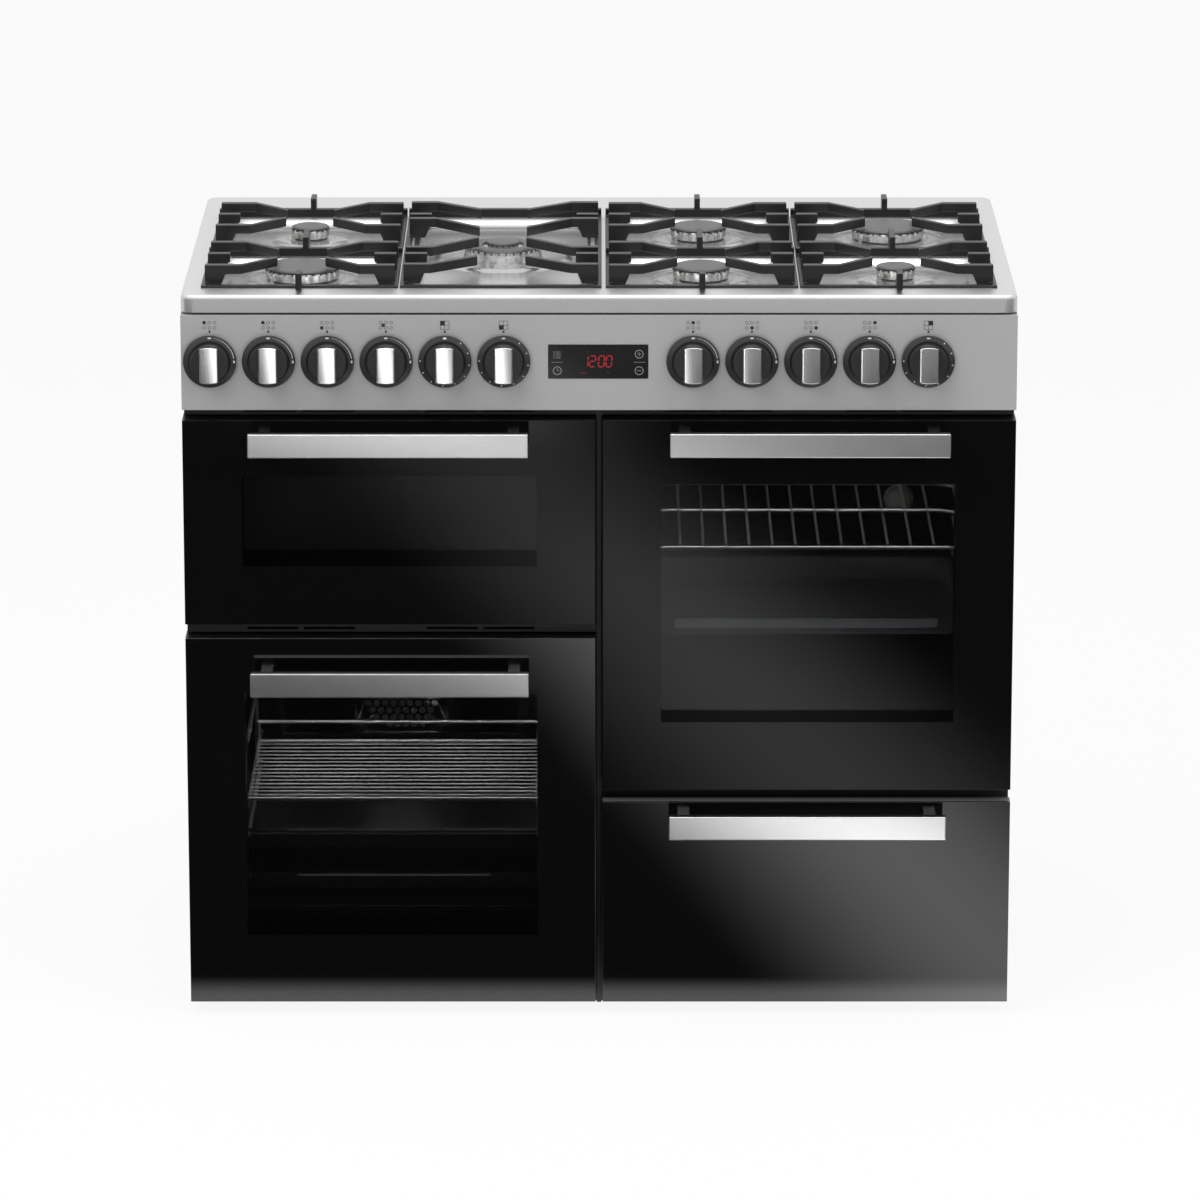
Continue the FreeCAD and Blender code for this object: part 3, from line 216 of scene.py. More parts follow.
def brushed_steel(name, colour, rough, grain_axis):
    """Brushed stainless steel: fine parallel scratches that stretch the highlights."""
    material, tree, shader = start_material(name, colour, rough, 1.0)
    # Real scratches are about 0.05 mm apart; drawn 0.5 mm apart so that they show
    stretch = [1.0, 1.0, 1.0]
    stretch[grain_axis] = 0.02
    noise = vary_roughness(tree, shader, 0.5, rough - 0.05, rough + 0.07, 2.0, tuple(stretch))
    roughen(tree, shader, noise, 0.05, 0.02)
    return material


def satin_steel(name, colour, rough, metal=1.0):
    """Bead-blasted stainless sheet: even satin with very soft mottling."""
    material, tree, shader = start_material(name, colour, rough, metal)
    vary_roughness(tree, shader, 6, rough - 0.03, rough + 0.03)
    roughen(tree, shader, grain(tree, 0.6), 0.04, 0.02)
    return material


def cast_iron():
    """Enamelled cast iron: near-black, matt, with a soft sand-cast skin."""
    material, tree, shader = start_material("Matt enamelled cast iron", "#0E0E0F", 0.38)
    noise = vary_roughness(tree, shader, 3, 0.32, 0.44)
    vary_colour(tree, shader, noise, "#0B0B0C", "#131314")
    roughen(tree, shader, grain(tree, 1.2, 3.0), 0.25, 0.15)
    return material


def printed_glass(name, gloss, colour=None):
    """Toughened glass printed black on its rear face: deep black under a clear gloss."""
    material, tree, shader = start_material(name, colour or colours().glass_black, 0.05, 0.0,
                                            {"Specular IOR Level": gloss})
    # Rolled glass is wavy about every 60 mm
    vary_roughness(tree, shader, 60, 0.03, 0.08, 2.0)
    return material


def window_glass():
    """Tinted toughened glass of the door windows: dark, clear and glossy."""
    material, tree, shader = start_material("Tinted window glass", "#040404", 0.04, 0.0,
                                            {"Alpha": 0.55, "Specular IOR Level": 0.36})
    vary_roughness(tree, shader, 60, 0.03, 0.06, 2.0)
    return material


def clear_glass():
    """Clear inner pane: almost invisible, with a faint grey body."""
    material, tree, shader = start_material("Clear inner glass", "#0C0E0E", 0.03, 0.0,
                                            {"Alpha": 0.12})
    vary_roughness(tree, shader, 60, 0.02, 0.05, 2.0)
    return material


def black_plastic(name, colour, rough):
    """Moulded ABS: fine spark-eroded grain that breaks up the gloss."""
    material, tree, shader = start_material(name, colour, rough)
    vary_roughness(tree, shader, 2, rough - 0.05, rough + 0.06)
    roughen(tree, shader, grain(tree, 0.4), 0.1, 0.03)
    return material


def chrome(name, colour, rough):
    """Chromium plate: a bright mirror with faint polishing haze."""
    material, tree, shader = start_material(name, colour, rough, 1.0)
    vary_roughness(tree, shader, 8, rough * 0.8, rough * 1.3)
    return material


def enamel(name, colour, rough=0.22):
    """Vitreous enamel: glossy glass coat with tiny light flecks."""
    material, tree, shader = start_material(name, colour, rough)
    # Flecks about 1 mm wide
    vary_colour(tree, shader, grain(tree, 1.0, 1.0), colour, "#3A3C40", 0.66, 0.74)
    roughen(tree, shader, grain(tree, 25), 0.06, 0.4)
    return material


def paint(name, colour, rough):
    """Stove paint on sheet steel, with a light orange-peel skin."""
    material, tree, shader = start_material(name, colour, rough)
    noise = vary_roughness(tree, shader, 3, rough - 0.04, rough + 0.04)
    roughen(tree, shader, noise, 0.05, 0.05)
    return material


def galvanised():
    """Hot-dip galvanised sheet: grey zinc with large soft crystals."""
    material, tree, shader = start_material("Galvanised sheet steel", "#9A9D9F", 0.45, 1.0)
    coords = add(tree, "ShaderNodeTexCoord")
    # Zinc spangle is about 12 mm across
    cells = add(tree, "ShaderNodeTexVoronoi", {"Scale": 1 / (12 * MM)},
                {"Vector": coords.outputs["Object"]})
    spread = add(tree, "ShaderNodeMapRange", {"To Min": 0.42, "To Max": 0.54},
                 {"Value": cells.outputs["Color"]})
    tree.links.new(spread.outputs["Result"], shader.inputs["Roughness"])
    vary_colour(tree, shader, grain(tree, 20), "#929598", "#A0A3A5")
    return material


def aluminium_casting():
    """Die-cast aluminium burner crown: bright satin with faint heat staining."""
    material, tree, shader = start_material("Die-cast aluminium", "#C9C8C6", 0.3, 1.0)
    noise = vary_roughness(tree, shader, 4, 0.28, 0.42)
    vary_colour(tree, shader, noise, "#B8B6B4", "#DADADA")
    roughen(tree, shader, noise, 0.08, 0.1)
    return material


def glow(name, colour, strength):
    """Lit segment behind the display glass: an even light without texture."""
    return start_material(name, colour, 0.4, 0.0, {"Emission Color": linear(colour),
                                                   "Emission Strength": strength})[0]


def print_ink(name, colour):
    """Screen-printed ink: flat colour with a slightly uneven film."""
    material, tree, shader = start_material(name, colour, 0.5)
    vary_roughness(tree, shader, 1, 0.45, 0.6)
    return material


def rubber():
    """Silicone seal: dark, soft and matt."""
    material, tree, shader = start_material("Silicone rubber", "#202022", 0.7)
    noise = vary_roughness(tree, shader, 2, 0.6, 0.8)
    roughen(tree, shader, noise, 0.1, 0.1)
    return material


def brass():
    """Machined brass: warm, with fine turning marks."""
    material, tree, shader = start_material("Machined brass", "#C9A35A", 0.3, 1.0)
    vary_roughness(tree, shader, 1, 0.22, 0.4, 2.0, (1, 1, 0.1))
    return material


def lamp_glass():
    """Frosted borosilicate lamp cap: pale and milky."""
    material, tree, shader = start_material("Borosilicate lamp glass", "#D8D8D0", 0.15, 0.0,
                                            {"Alpha": 0.5})
    vary_roughness(tree, shader, 3, 0.1, 0.2)
    return material


FINISHES = {
    "hob": lambda: satin_steel("Satin stainless steel", colours().hob_steel, 0.42),
    # Smoother than the rim, with a base darker than the rim's: painted shade in the pressed
    # recesses.
    "well": lambda: satin_steel("Polished well steel with painted shade", "#D2D2D2", 0.24),
    # Rougher, part-metallic copy of the hob's satin steel with a darker base: painted shade on the
    # control panel and the hob's front skirt, which face the front.
    "panel": lambda: satin_steel("Satin steel with painted front shade", colours().panel_steel, 0.6, 0.3),
    "handle": lambda: brushed_steel("Brushed stainless handle", "#D8D8D8", 0.22, 0),
    "iron": cast_iron,
    "glass": lambda: printed_glass("Black-printed toughened glass", 0.2),
    "display": lambda: printed_glass("Smoked display glass", 0.3, "#1A1A1A"),
    "lower glass": lambda: printed_glass("Black-backed toughened glass", 0.68, "#060606"),
    "window": window_glass,
    "ledge": lambda: printed_glass("Glass over the window's ledge", 0.13, "#030303"),
    "dull ledge": lambda: printed_glass("Matt print over the window's ledge", 0.05, "#030303"),
    "clear": clear_glass,
    "dial": lambda: black_plastic("Moulded knob plastic", "#1E1E1E", 0.32),
    "skirt": lambda: black_plastic("Moulded knob skirt", "#2C2C2C", 0.35),
    "grip": lambda: brushed_steel("Brushed chrome grip", "#E6E6E6", 0.14, 2),
    "wire": lambda: chrome("Chromed wire", "#F0F0F0", 0.36),
    "enamel": lambda: enamel("Dark oven enamel", "#0C0D0F"),
    "tray": lambda: enamel("Grey tray enamel", "#1A1B1D", 0.26),
    # Light grey on the dark trays' front lips: a painted highlight of their lit rims.
    "lip": lambda: paint("Tray lip grey as painted highlight", "#5E6062", 0.4),
    "cap": lambda: enamel("Matt cap enamel and painted port shade", "#505050", 0.42),
    "paint": lambda: paint("Black stove paint", "#0A0A0B", 0.4),
    "grey": lambda: paint("Grey drawer paint", "#6E7072", 0.45),
    "zinc": galvanised,
    "crown": aluminium_casting,
    "ink": lambda: print_ink("Black screen print", "#1C1C1C"),
    "white": lambda: print_ink("White screen print", "#C8C8C8"),
    "red": lambda: glow("Red clock light", colours().clock_red, 0.1),
    "dim": lambda: print_ink("Grey touch symbols", "#8C8C8C"),
    "rubber": rubber,
    "brass": brass,
    "lamp": lamp_glass,
    "steel": lambda: brushed_steel("Plain mild steel", "#8F9092", 0.4, 0),
    "element": lambda: paint("Oxidised element sheath", "#2A2724", 0.5),
    "ceramic": lambda: enamel("Glazed igniter ceramic", "#8E8C88", 0.3),
    "housing": lambda: black_plastic("Moulded housing", "#17181A", 0.5),
}
MADE = {}


def finish(name):
    """The shared material of a finish, made at its first use."""
    if name not in MADE:
        MADE[name] = FINISHES[name]()
    return MADE[name]


# Mesh helpers, in millimetres

def finish_piece(bm, name, body, finishes, replaced=()):
    """Turns a bmesh into a smooth-shaded piece in metres that rides on a body."""
    bmesh.ops.scale(bm, vec=(MM, MM, MM), verts=bm.verts)
    bmesh.ops.recalc_face_normals(bm, faces=bm.faces)
    mesh = bpy.data.meshes.new(name)
    bm.to_mesh(mesh)
    bm.free()
    for key in finishes:
        mesh.materials.append(finish(key))
    piece = bpy.data.objects.new(name, mesh)
    bpy.context.scene.collection.objects.link(piece)
    mesh.shade_smooth()
    mesh.set_sharp_from_angle(angle=math.radians(50))
    weighted = piece.modifiers.new("Weighted normals", "WEIGHTED_NORMAL")
    weighted.keep_sharp = True
    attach(piece, body)
    if replaced:
        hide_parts(*replaced)
    return piece


def paint_faces(faces, index):
    """Gives faces one of the piece's materials."""
    for face in faces:
        face.material_index = index


def faces_of(verts):
    """Every face that touches some vertices."""
    return {face for v in verts for face in v.link_faces}


def joined_to(verts):
    """Some vertices with everything that hangs together with them."""
    whole = set(verts)
    grow = True
    while grow:
        linked = {e.other_vert(v) for v in whole for e in v.link_edges}
        grow = not linked <= whole
        whole |= linked
    return whole


def only(kind, geometry):
    """The vertices or edges among what an operator returned."""
    return [item for item in geometry if isinstance(item, kind)]


def middle_of(node):
    """Middle of a node's box."""
    low, high = box_mm(node)
    return (low + high) / 2


def brick(bm, x0, x1, y0, y1, z0, z1, material=0):
    """Block between two corners."""
    made = bmesh.ops.create_cube(bm, size=1.0)["verts"]
    bmesh.ops.scale(bm, vec=(x1 - x0, y1 - y0, z1 - z0), verts=made)
    bmesh.ops.translate(bm, vec=((x0 + x1) / 2, (y0 + y1) / 2, (z0 + z1) / 2), verts=made)
    paint_faces(faces_of(made), material)
    return made


def round_edges(bm, edges, width, segments=2):
    """Rounds sharp edges."""
    bmesh.ops.bevel(bm, geom=list(edges), offset=width, offset_type="OFFSET",
                    segments=segments, profile=0.5, affect="EDGES", clamp_overlap=True,
                    material=-1)


def sharp_edges(edges, angle):
    """Edges where two faces meet at more than an angle in degrees."""
    limit = math.radians(angle)
    return [e for e in edges if len(e.link_faces) == 2 and e.calc_face_angle(0) > limit]


def cut_along(bm, spot, normal):
    """Cuts every face along a plane and keeps both sides."""
    bmesh.ops.bisect_plane(bm, geom=list(bm.verts) + list(bm.edges) + list(bm.faces),
                           plane_co=spot, plane_no=normal, dist=0.001)


def copy_of(mesh, gap=0.01):
    """A mesh in metres as a bmesh in millimetres, with its loose triangles merged."""
    bm = bmesh.new()
    bm.from_mesh(mesh)
    bmesh.ops.scale(bm, vec=(1 / MM,) * 3, verts=bm.verts)
    bmesh.ops.remove_doubles(bm, verts=bm.verts, dist=gap)
    return bm


def softened(node, name, width, key, segments=2):
    """Copy of a CAD node with its edges rounded."""
    bm = copy_of(NODES[node].data)
    bmesh.ops.dissolve_limit(bm, angle_limit=math.radians(1), verts=bm.verts, edges=bm.edges)
    paint_faces(bm.faces, 0)
    round_edges(bm, sharp_edges(bm.edges, 30), width, segments)
    finish_piece(bm, name, NODES[node]["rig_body"], [key], [node])


def spun(bm, profile, centre, steps=48, material=0, turn=None):
    """Turned solid about z through (radius, height) points, closed at the axis."""
    verts = [bm.verts.new((r, 0, h)) for r, h in profile]
    edges = [bm.edges.new(pair) for pair in zip(verts, verts[1:])]
    bmesh.ops.spin(bm, geom=verts + edges, cent=(0, 0, 0), axis=(0, 0, 1),
                   angle=math.tau, steps=steps, use_merge=True)
    whole = list(joined_to(verts))
    bmesh.ops.remove_doubles(bm, verts=whole, dist=0.001)
    whole = [v for v in whole if v.is_valid]
    paint_faces(faces_of(whole), material)
    if turn is not None:
        bmesh.ops.transform(bm, matrix=turn, verts=whole)
    bmesh.ops.translate(bm, vec=centre, verts=whole)
    return whole


def rod(bm, a, b, radius, sides=12, material=0):
    """Round bar between two points."""
    a, b = Vector(a), Vector(b)
    along = b - a
    turn = along.to_track_quat("Z", "Y").to_matrix().to_4x4()
    made = bmesh.ops.create_cone(bm, cap_ends=True, cap_tris=False, segments=sides,
                                 radius1=radius, radius2=radius, depth=along.length,
                                 matrix=Matrix.Translation((a + b) / 2) @ turn)
    paint_faces(faces_of(made["verts"]), material)


def tube(name, points, radius, key, replaced=()):
    """Fixed round tube with smooth bends through some points."""
    curve = bpy.data.curves.new(name, "CURVE")
    curve.dimensions = "3D"
    curve.bevel_depth = radius * MM
    curve.bevel_resolution = 3
    curve.use_fill_caps = True
    spline = curve.splines.new("NURBS")
    spline.points.add(len(points) - 1)
    for point, spot in zip(spline.points, points):
        point.co = (spot[0] * MM, spot[1] * MM, spot[2] * MM, 1)
    spline.order_u = 3
    spline.use_endpoint_u = True
    spline.resolution_u = 6
    holder = bpy.data.objects.new(name + "_path", curve)
    bpy.context.scene.collection.objects.link(holder)
    depsgraph = bpy.context.evaluated_depsgraph_get()
    mesh = bpy.data.meshes.new_from_object(holder.evaluated_get(depsgraph))
    bpy.data.objects.remove(holder)
    bm = copy_of(mesh, 0.001)
    bpy.data.meshes.remove(mesh)
    paint_faces(bm.faces, 0)
    finish_piece(bm, name, "cooker", [key], replaced)


# Hob: depths are counted back from the panel's face

FRONT_ROW = 134.0
ROW_PITCH = 240.0
HALF_CELL = 93.0
SUPPORT_START = 42.0
SUPPORT_DEPTH = 435.0
WELL_MARGIN = 12.0
WELL_CORNER = 26.0
BEFORE_SPLIT = 4.0
BEHIND_SPLIT = 14.0
WOK_SUPPORT = 1
CAP_RADIUS = {"small": 22.5, "medium": 33.5, "large": 44.0, "wok": 43.5}
# How far a burner's raised seat reaches past its cap, how high it is and how wide its slope
SEAT, WOK_SEAT = (28.0, 2.2, 8.0), (40.0, 3.0, 6.0)
HOB_CELLS = (282, 168)
HOB_CORNER = 9.0
EDGE_STEPS = 5
SHEET_FOLD = 0.6
UNDER_FLANGE = 12.0


def support_spans():
    """Left and right edge of each pan support."""
    return [(box_mm(n)[0].x, box_mm(n)[1].x) for n in SUPPORTS]


def burner_spots():
    """Middle, cap radius and kind of each burner."""
    columns = [(a + b) / 2 for a, b in support_spans()]
    front = FRONT + FRONT_ROW
    rear = front + ROW_PITCH
    wok = FRONT + SUPPORT_START + SUPPORT_DEPTH / 2
    places = [(0, rear, "small"), (0, front, "large"), (2, rear, "medium"),
              (2, front, "medium"), (3, rear, "large"), (3, front, "small"),
              (WOK_SUPPORT, wok, "wok")]
    return [(columns[column], y, CAP_RADIUS[kind], kind) for column, y, kind in places]


def well_rects():
    """Plan rectangles of the pressed wells, two under each support but the wok's."""
    start = FRONT + SUPPORT_START + WELL_MARGIN
    split = FRONT + FRONT_ROW + HALF_CELL
    end = split + ROW_PITCH - BEFORE_SPLIT
    rects = []
    for index, (x0, x1) in enumerate(support_spans()):
        x0, x1 = x0 + WELL_MARGIN, x1 - WELL_MARGIN
        if index == WOK_SUPPORT:
            rects.append((x0, x1, start, end))
        else:
            rects += [(x0, x1, start, split - BEFORE_SPLIT), (x0, x1, split + BEHIND_SPLIT, end)]
    return rects


def inside_well(x, y, rect):
    """Distance inside a well's outline with its round corners; negative outside it."""
    x0, x1, y0, y1 = rect
    dx = abs(x - (x0 + x1) / 2) - (x1 - x0) / 2 + WELL_CORNER
    dy = abs(y - (y0 + y1) / 2) - (y1 - y0) / 2 + WELL_CORNER
    return WELL_CORNER - math.hypot(max(dx, 0), max(dy, 0)) - min(max(dx, dy), 0)


def smooth_share(value):
    """Soft step from 0 to 1."""
    value = min(max(value, 0.0), 1.0)
    return value * value * (3 - 2 * value)


def pressing_height(x, y, wells, spots):
    """Height of the hob sheet at a plan point."""
    sink = 0.0
    for rect in wells:
        inside = inside_well(x, y, rect)
        if inside > 0:
            sink = size_mm("well_depth") * smooth_share(inside / size_mm("well_slope"))
    if sink:
        for spot_x, spot_y, radius, kind in spots:
            reach, rise, slope = WOK_SEAT if kind == "wok" else SEAT
            inside = radius + reach - math.hypot(x - spot_x, y - spot_y)
            if inside > 0:
                sink -= rise * smooth_share(inside / slope)
                break
    return HOB_HIGH.z - sink


class COOKER_OT_hob(bpy.types.Operator):
    """Presses the hob sheet: round edge, sloped wells and raised burner seats"""
    bl_idname = "cooker.hob"
    bl_label = "Hob pressing"

    def execute(self, context):
        edge = size_mm("hob_edge")
        self.low = Vector((HOB_LOW.x + edge, HOB_LOW.y + edge))
        self.high = Vector((HOB_HIGH.x - edge, HOB_HIGH.y - edge))
        wells = well_rects()
        bm = self.pressed_sheet(wells)
        rim = [e for e in bm.edges if e.is_boundary]
        outward = {v: self.from_corner(v).normalized() for v in {v for e in rim for v in e.verts}}
        last = 0.0
        for step in range(1, EDGE_STEPS + 1):
            angle = step / EDGE_STEPS * math.pi / 2
            rim, outward = self.pull(bm, rim, outward, edge * (math.sin(angle) - math.sin(last)),
                                     edge * (math.cos(last) - math.cos(angle)))
            last = angle
        skirt = HOB_HIGH.z - edge - HOB_LOW.z - SHEET_FOLD
        for out, down in ((0, skirt), (-SHEET_FOLD, SHEET_FOLD), (-UNDER_FLANGE, 0)):
            rim, outward = self.pull(bm, rim, outward, out, down)
        for face in bm.faces:
            middle = face.calc_center_median()
            # The front skirt takes the panel's darker steel: painted shade of the faces that look
            # to the front.
            if middle.y < HOB_LOW.y + 0.1 and middle.z < HOB_HIGH.z - edge:
                face.material_index = 2
            # Faces in the wells take the well steel, darkened as painted shade of the recesses.
            elif any(inside_well(middle.x, middle.y, rect) > 0 for rect in wells):
                face.material_index = 1
        finish_piece(bm, "hob_pressing", "cooker", ["hob", "well", "panel"],
                     ["hob_top"])
        return {"FINISHED"}

    def pressed_sheet(self, wells):
        """Fine grid with round corners, pressed down into the wells."""
        bm = bmesh.new()
        bmesh.ops.create_grid(bm, x_segments=HOB_CELLS[0], y_segments=HOB_CELLS[1], size=0.5)
        size, middle = self.high - self.low, (self.high + self.low) / 2
        bmesh.ops.scale(bm, vec=(size.x, size.y, 1), verts=bm.verts)
        bmesh.ops.translate(bm, vec=(middle.x, middle.y, 0), verts=bm.verts)
        spots = burner_spots()
        for v in bm.verts:
            off = self.from_corner(v)
            if off.x and off.y:
                v.co += off * (max(abs(off.x), abs(off.y)) / off.length - 1)
            v.co.z = pressing_height(v.co.x, v.co.y, wells, spots)
        return bm

    def from_corner(self, v):
        """Flat way to a vertex from the nearest point that lies a corner radius inside."""
        x = min(max(v.co.x, self.low.x + HOB_CORNER), self.high.x - HOB_CORNER)
        y = min(max(v.co.y, self.low.y + HOB_CORNER), self.high.y - HOB_CORNER)
        return Vector((v.co.x - x, v.co.y - y, 0))

    def pull(self, bm, rim, outward, out, down):
        """Extrudes the rim outwards and down; returns the new rim and its outward ways."""
        made = bmesh.ops.extrude_edge_only(bm, edges=rim)["geom"]
        ways = {}
        for v in only(bmesh.types.BMVert, made):
            way = next(outward[e.other_vert(v)] for e in v.link_edges if e.other_vert(v) in outward)
            v.co += way * out - Vector((0, 0, down))
            ways[v] = way
        return only(bmesh.types.BMEdge, made), ways


class COOKER_OT_pan_supports(bpy.types.Operator):
    """Casts the four pan supports with rounded edges"""
    bl_idname = "cooker.pan_supports"
    bl_label = "Pan supports"

    def execute(self, context):
        for node in SUPPORTS:
            softened(node, node.replace("pan_support", "iron_support"), size_mm("iron_edge"),
                     "iron")
        return {"FINISHED"}


# Burners: outlines are (radius, height) points over the lowest sheet; where the radius is
# counted from the cap's, AXIS stands for the axis itself

AXIS = None
BURNER_BASE = 10.0
CROWN_TOP = 16.0
FOOT = ((AXIS, 1), (7, 1), (8, 2), (7, 2.8), (AXIS, 3))
# Neck between foot and crown in the caps' grey enamel: painted shade of the undercut beneath the
# crown.
PAINTED_SHADE_NECK = ((AXIS, 2.6), (-2.4, 2.6), (-2.4, 5), (AXIS, 5))
CROWN = ((AXIS, 4.4), (-0.8, 4.4), (0.4, 5), (1, 13.4), (0.2, 14.8), (-1, 16), (AXIS, 16))
CAP = ((AXIS, 0), (-1.2, 0), (-0.3, 0.4), (0, 1.2), (-0.3, 2.2), (-1.6, 2.9), (-5, 3.2),
       (AXIS, 3.4))
CAP_OVERHANG = 0.4
LOBES = {"small": 10, "medium": 14, "large": 18, "wok": 12}
LOBE_DEPTH, WOK_LOBE_DEPTH = 1.5, 1.2
WOK_BODY = ((0, 1), (64.4, 1), (65, 1.6), (64.4, 2.4), (60, 2.8), (48.2, 3), (47, 8.4),
            (45.8, 13), (0, 13))
WOK_COLLAR = ((0, 12.8), (43.6, 12.8), (43.9, 15.9), (0, 16))
WOK_RING = ((26, 16), (43.4, 16), (43.9, 16.8), (43, 18.2), (38, 19.3), (28, 19), (26, 18.2),
            (26, 16))
WOK_HEART = ((0, 15), (19, 15), (19, 19.8), (0, 20))
WOK_CAP_RADIUS, WOK_CAP_HEIGHT = 20, 20
TOOTH_DEPTH, TOOTH_WIDTH, TOOTH_PITCH, TOOTH_INSET = 4.4, 1.8, 9, 1.6
PLUG = ((0, 0), (3.2, 0), (3.2, 3), (2.2, 3.6))
PLUG_NECK, PLUG_TIP, PLUG_TIP_RADIUS = 2.0, 3.0, 0.8
PLUG_REACH, PLUG_HEIGHT = 6.6, 12
WOK_PLUG_OFFSET, WOK_PLUG_HEIGHT = (-13, -56), 10


def raised(outline, base, radius=0.0):
    """Burner outline at a base height, counted from a radius."""
    return [(0 if out is AXIS else radius + out, base + up) for out, up in outline]


def lobed_body(bm, spot, profile, lobes, depth):
    """Turned body whose wall waves in and out round its axis."""
    x, y = spot
    widest = max(point[0] for point in profile)
    for v in spun(bm, profile, (x, y, 0), lobes * 6):
        off = Vector((v.co.x - x, v.co.y - y))
        if off.length > widest * 0.6:
            wave = 0.5 - 0.5 * math.cos(math.atan2(off.y, off.x) * lobes)
            pull = 1 - depth * wave / off.length
            v.co.x, v.co.y = x + off.x * pull, y + off.y * pull


def port_shade_teeth(bm, spot, radius, low, high, count):
    """Flame ports in a row under the cap's rim: boxes in the caps' grey enamel, painted shade of
    the open ports.
    """
    for i in range(count):
        angle = i * math.tau / count
        reach = radius - TOOTH_INSET
        place = Matrix.Translation((spot[0] + reach * math.cos(angle),
                                    spot[1] + reach * math.sin(angle), (low + high) / 2))
        size = Matrix.Diagonal((TOOTH_DEPTH, TOOTH_WIDTH, high - low, 1))
        made = bmesh.ops.create_cube(bm, size=1.0, matrix=place
                                     @ Matrix.Rotation(angle, 4, "Z") @ size)
        # Material 1, the caps' grey enamel: painted shade inside the ports.
        paint_faces(faces_of(made["verts"]), 1)


def spark_plug(bm, spot, base, height):
    """Ceramic igniter with its metal tip."""
    x, y = spot
    shoulder = height - PLUG_TIP
    spun(bm, raised(PLUG + ((PLUG_NECK, shoulder), (0, shoulder)), base), (x, y, 0), 16, 2)
    rod(bm, (x, y, base + shoulder - 0.4), (x, y, base + height), PLUG_TIP_RADIUS, 8)


class COOKER_OT_burners(bpy.types.Operator):
    """Makes crowns with flame ports, enamelled caps and igniters"""
    bl_idname = "cooker.burners"
    bl_label = "Burners"

    def execute(self, context):
        crowns, caps = bmesh.new(), bmesh.new()
        base = HOB_HIGH.z - BURNER_BASE
        for x, y, radius, kind in burner_spots():
            make = self.wok_burner if kind == "wok" else self.burner
            make(crowns, caps, (x, y), base, radius, kind)
        # The crowns' second material, the caps' grey enamel, paints the shade in the ports and
        # under the crowns.
        finish_piece(crowns, "burner_bodies", "cooker",
                     ["crown", "cap", "ceramic"], ["burner_crowns"])
        finish_piece(caps, "burner_lids", "cooker", ["cap"], ["burner_caps"])
        return {"FINISHED"}

    def burner(self, crowns, caps, spot, base, radius, kind):
        """Foot, neck in painted shade, lobed crown, ports in painted shade, cap and igniter of a
        plain burner.
        """
        x, y = spot
        top = base + CROWN_TOP
        spun(crowns, raised(FOOT, base, radius), (x, y, 0), 56)
        # Grey enamel neck under the crown: painted shade.
        spun(crowns, raised(PAINTED_SHADE_NECK, base, radius), (x, y, 0), 56, 1)
        lobed_body(crowns, spot, raised(CROWN, base, radius), LOBES[kind], LOBE_DEPTH)
        port_shade_teeth(crowns, spot, radius + 0.8, top - 2.4, top - 0.02,
                   round(radius * math.tau / TOOTH_PITCH))
        spun(caps, raised(CAP, top, radius + CAP_OVERHANG), (x, y, 0), 56)
        reach = (radius + PLUG_REACH) * math.sqrt(0.5)
        spark_plug(crowns, (x - reach, y - reach), base + 1, PLUG_HEIGHT)

    def wok_burner(self, crowns, caps, spot, base, radius, kind):
        """Wide body with a flame ring round a small lobed burner."""
        x, y = spot
        top = base + CROWN_TOP
        spun(crowns, raised(WOK_BODY, base), (x, y, 0), 96)
        spun(crowns, raised(WOK_COLLAR, base), (x, y, 0), 96)
        # Ports of the wok's outer ring and of its heart: painted shade.
        port_shade_teeth(crowns, spot, radius + 0.7, top - 2.6, top - 0.05, 30)
        spun(caps, raised(WOK_RING, base), (x, y, 0), 96)
        lobed_body(crowns, spot, raised(WOK_HEART, base), LOBES[kind], WOK_LOBE_DEPTH)
        port_shade_teeth(crowns, spot, 19.2, top + 2, top + 4, 16)
        spun(caps, raised(CAP, base + WOK_CAP_HEIGHT, WOK_CAP_RADIUS), (x, y, 0), 56)
        dx, dy = WOK_PLUG_OFFSET
        spark_plug(crowns, (x + dx, y + dy), base + 1, WOK_PLUG_HEIGHT)


# Panel: printed marks stand a film's thickness proud of the face

FILM = 0.06
ICON_RISE, DOT_RISE = 43.5, 35.6
ICON_STEP = (6.3, 3.2)
# Burners as the hob's plan shows them, in icon steps; the wok burner is drawn for its own knob
BURNER_PLACES = ((-1, 1), (0, 1), (1, 1), (-1, -1), (0, -1), (1, -1))
WOK_PLACE, WOK_KNOB = (-0.5, 0), "gas_knob_4"
KNOB_BURNER = {"gas_knob_1": (-1, 1), "gas_knob_2": (-1, 1), "gas_knob_3": (-1, -1),
               WOK_KNOB: WOK_PLACE, "gas_knob_5": (0, 1), "gas_knob_6": (0, -1),
               "gas_knob_7": (1, -1), "gas_knob_8": (1, 1)}
OVEN_CELLS = ((-1, 1), (-1, -1), (1, 1))
CELL, LINE = 5.2, 0.25


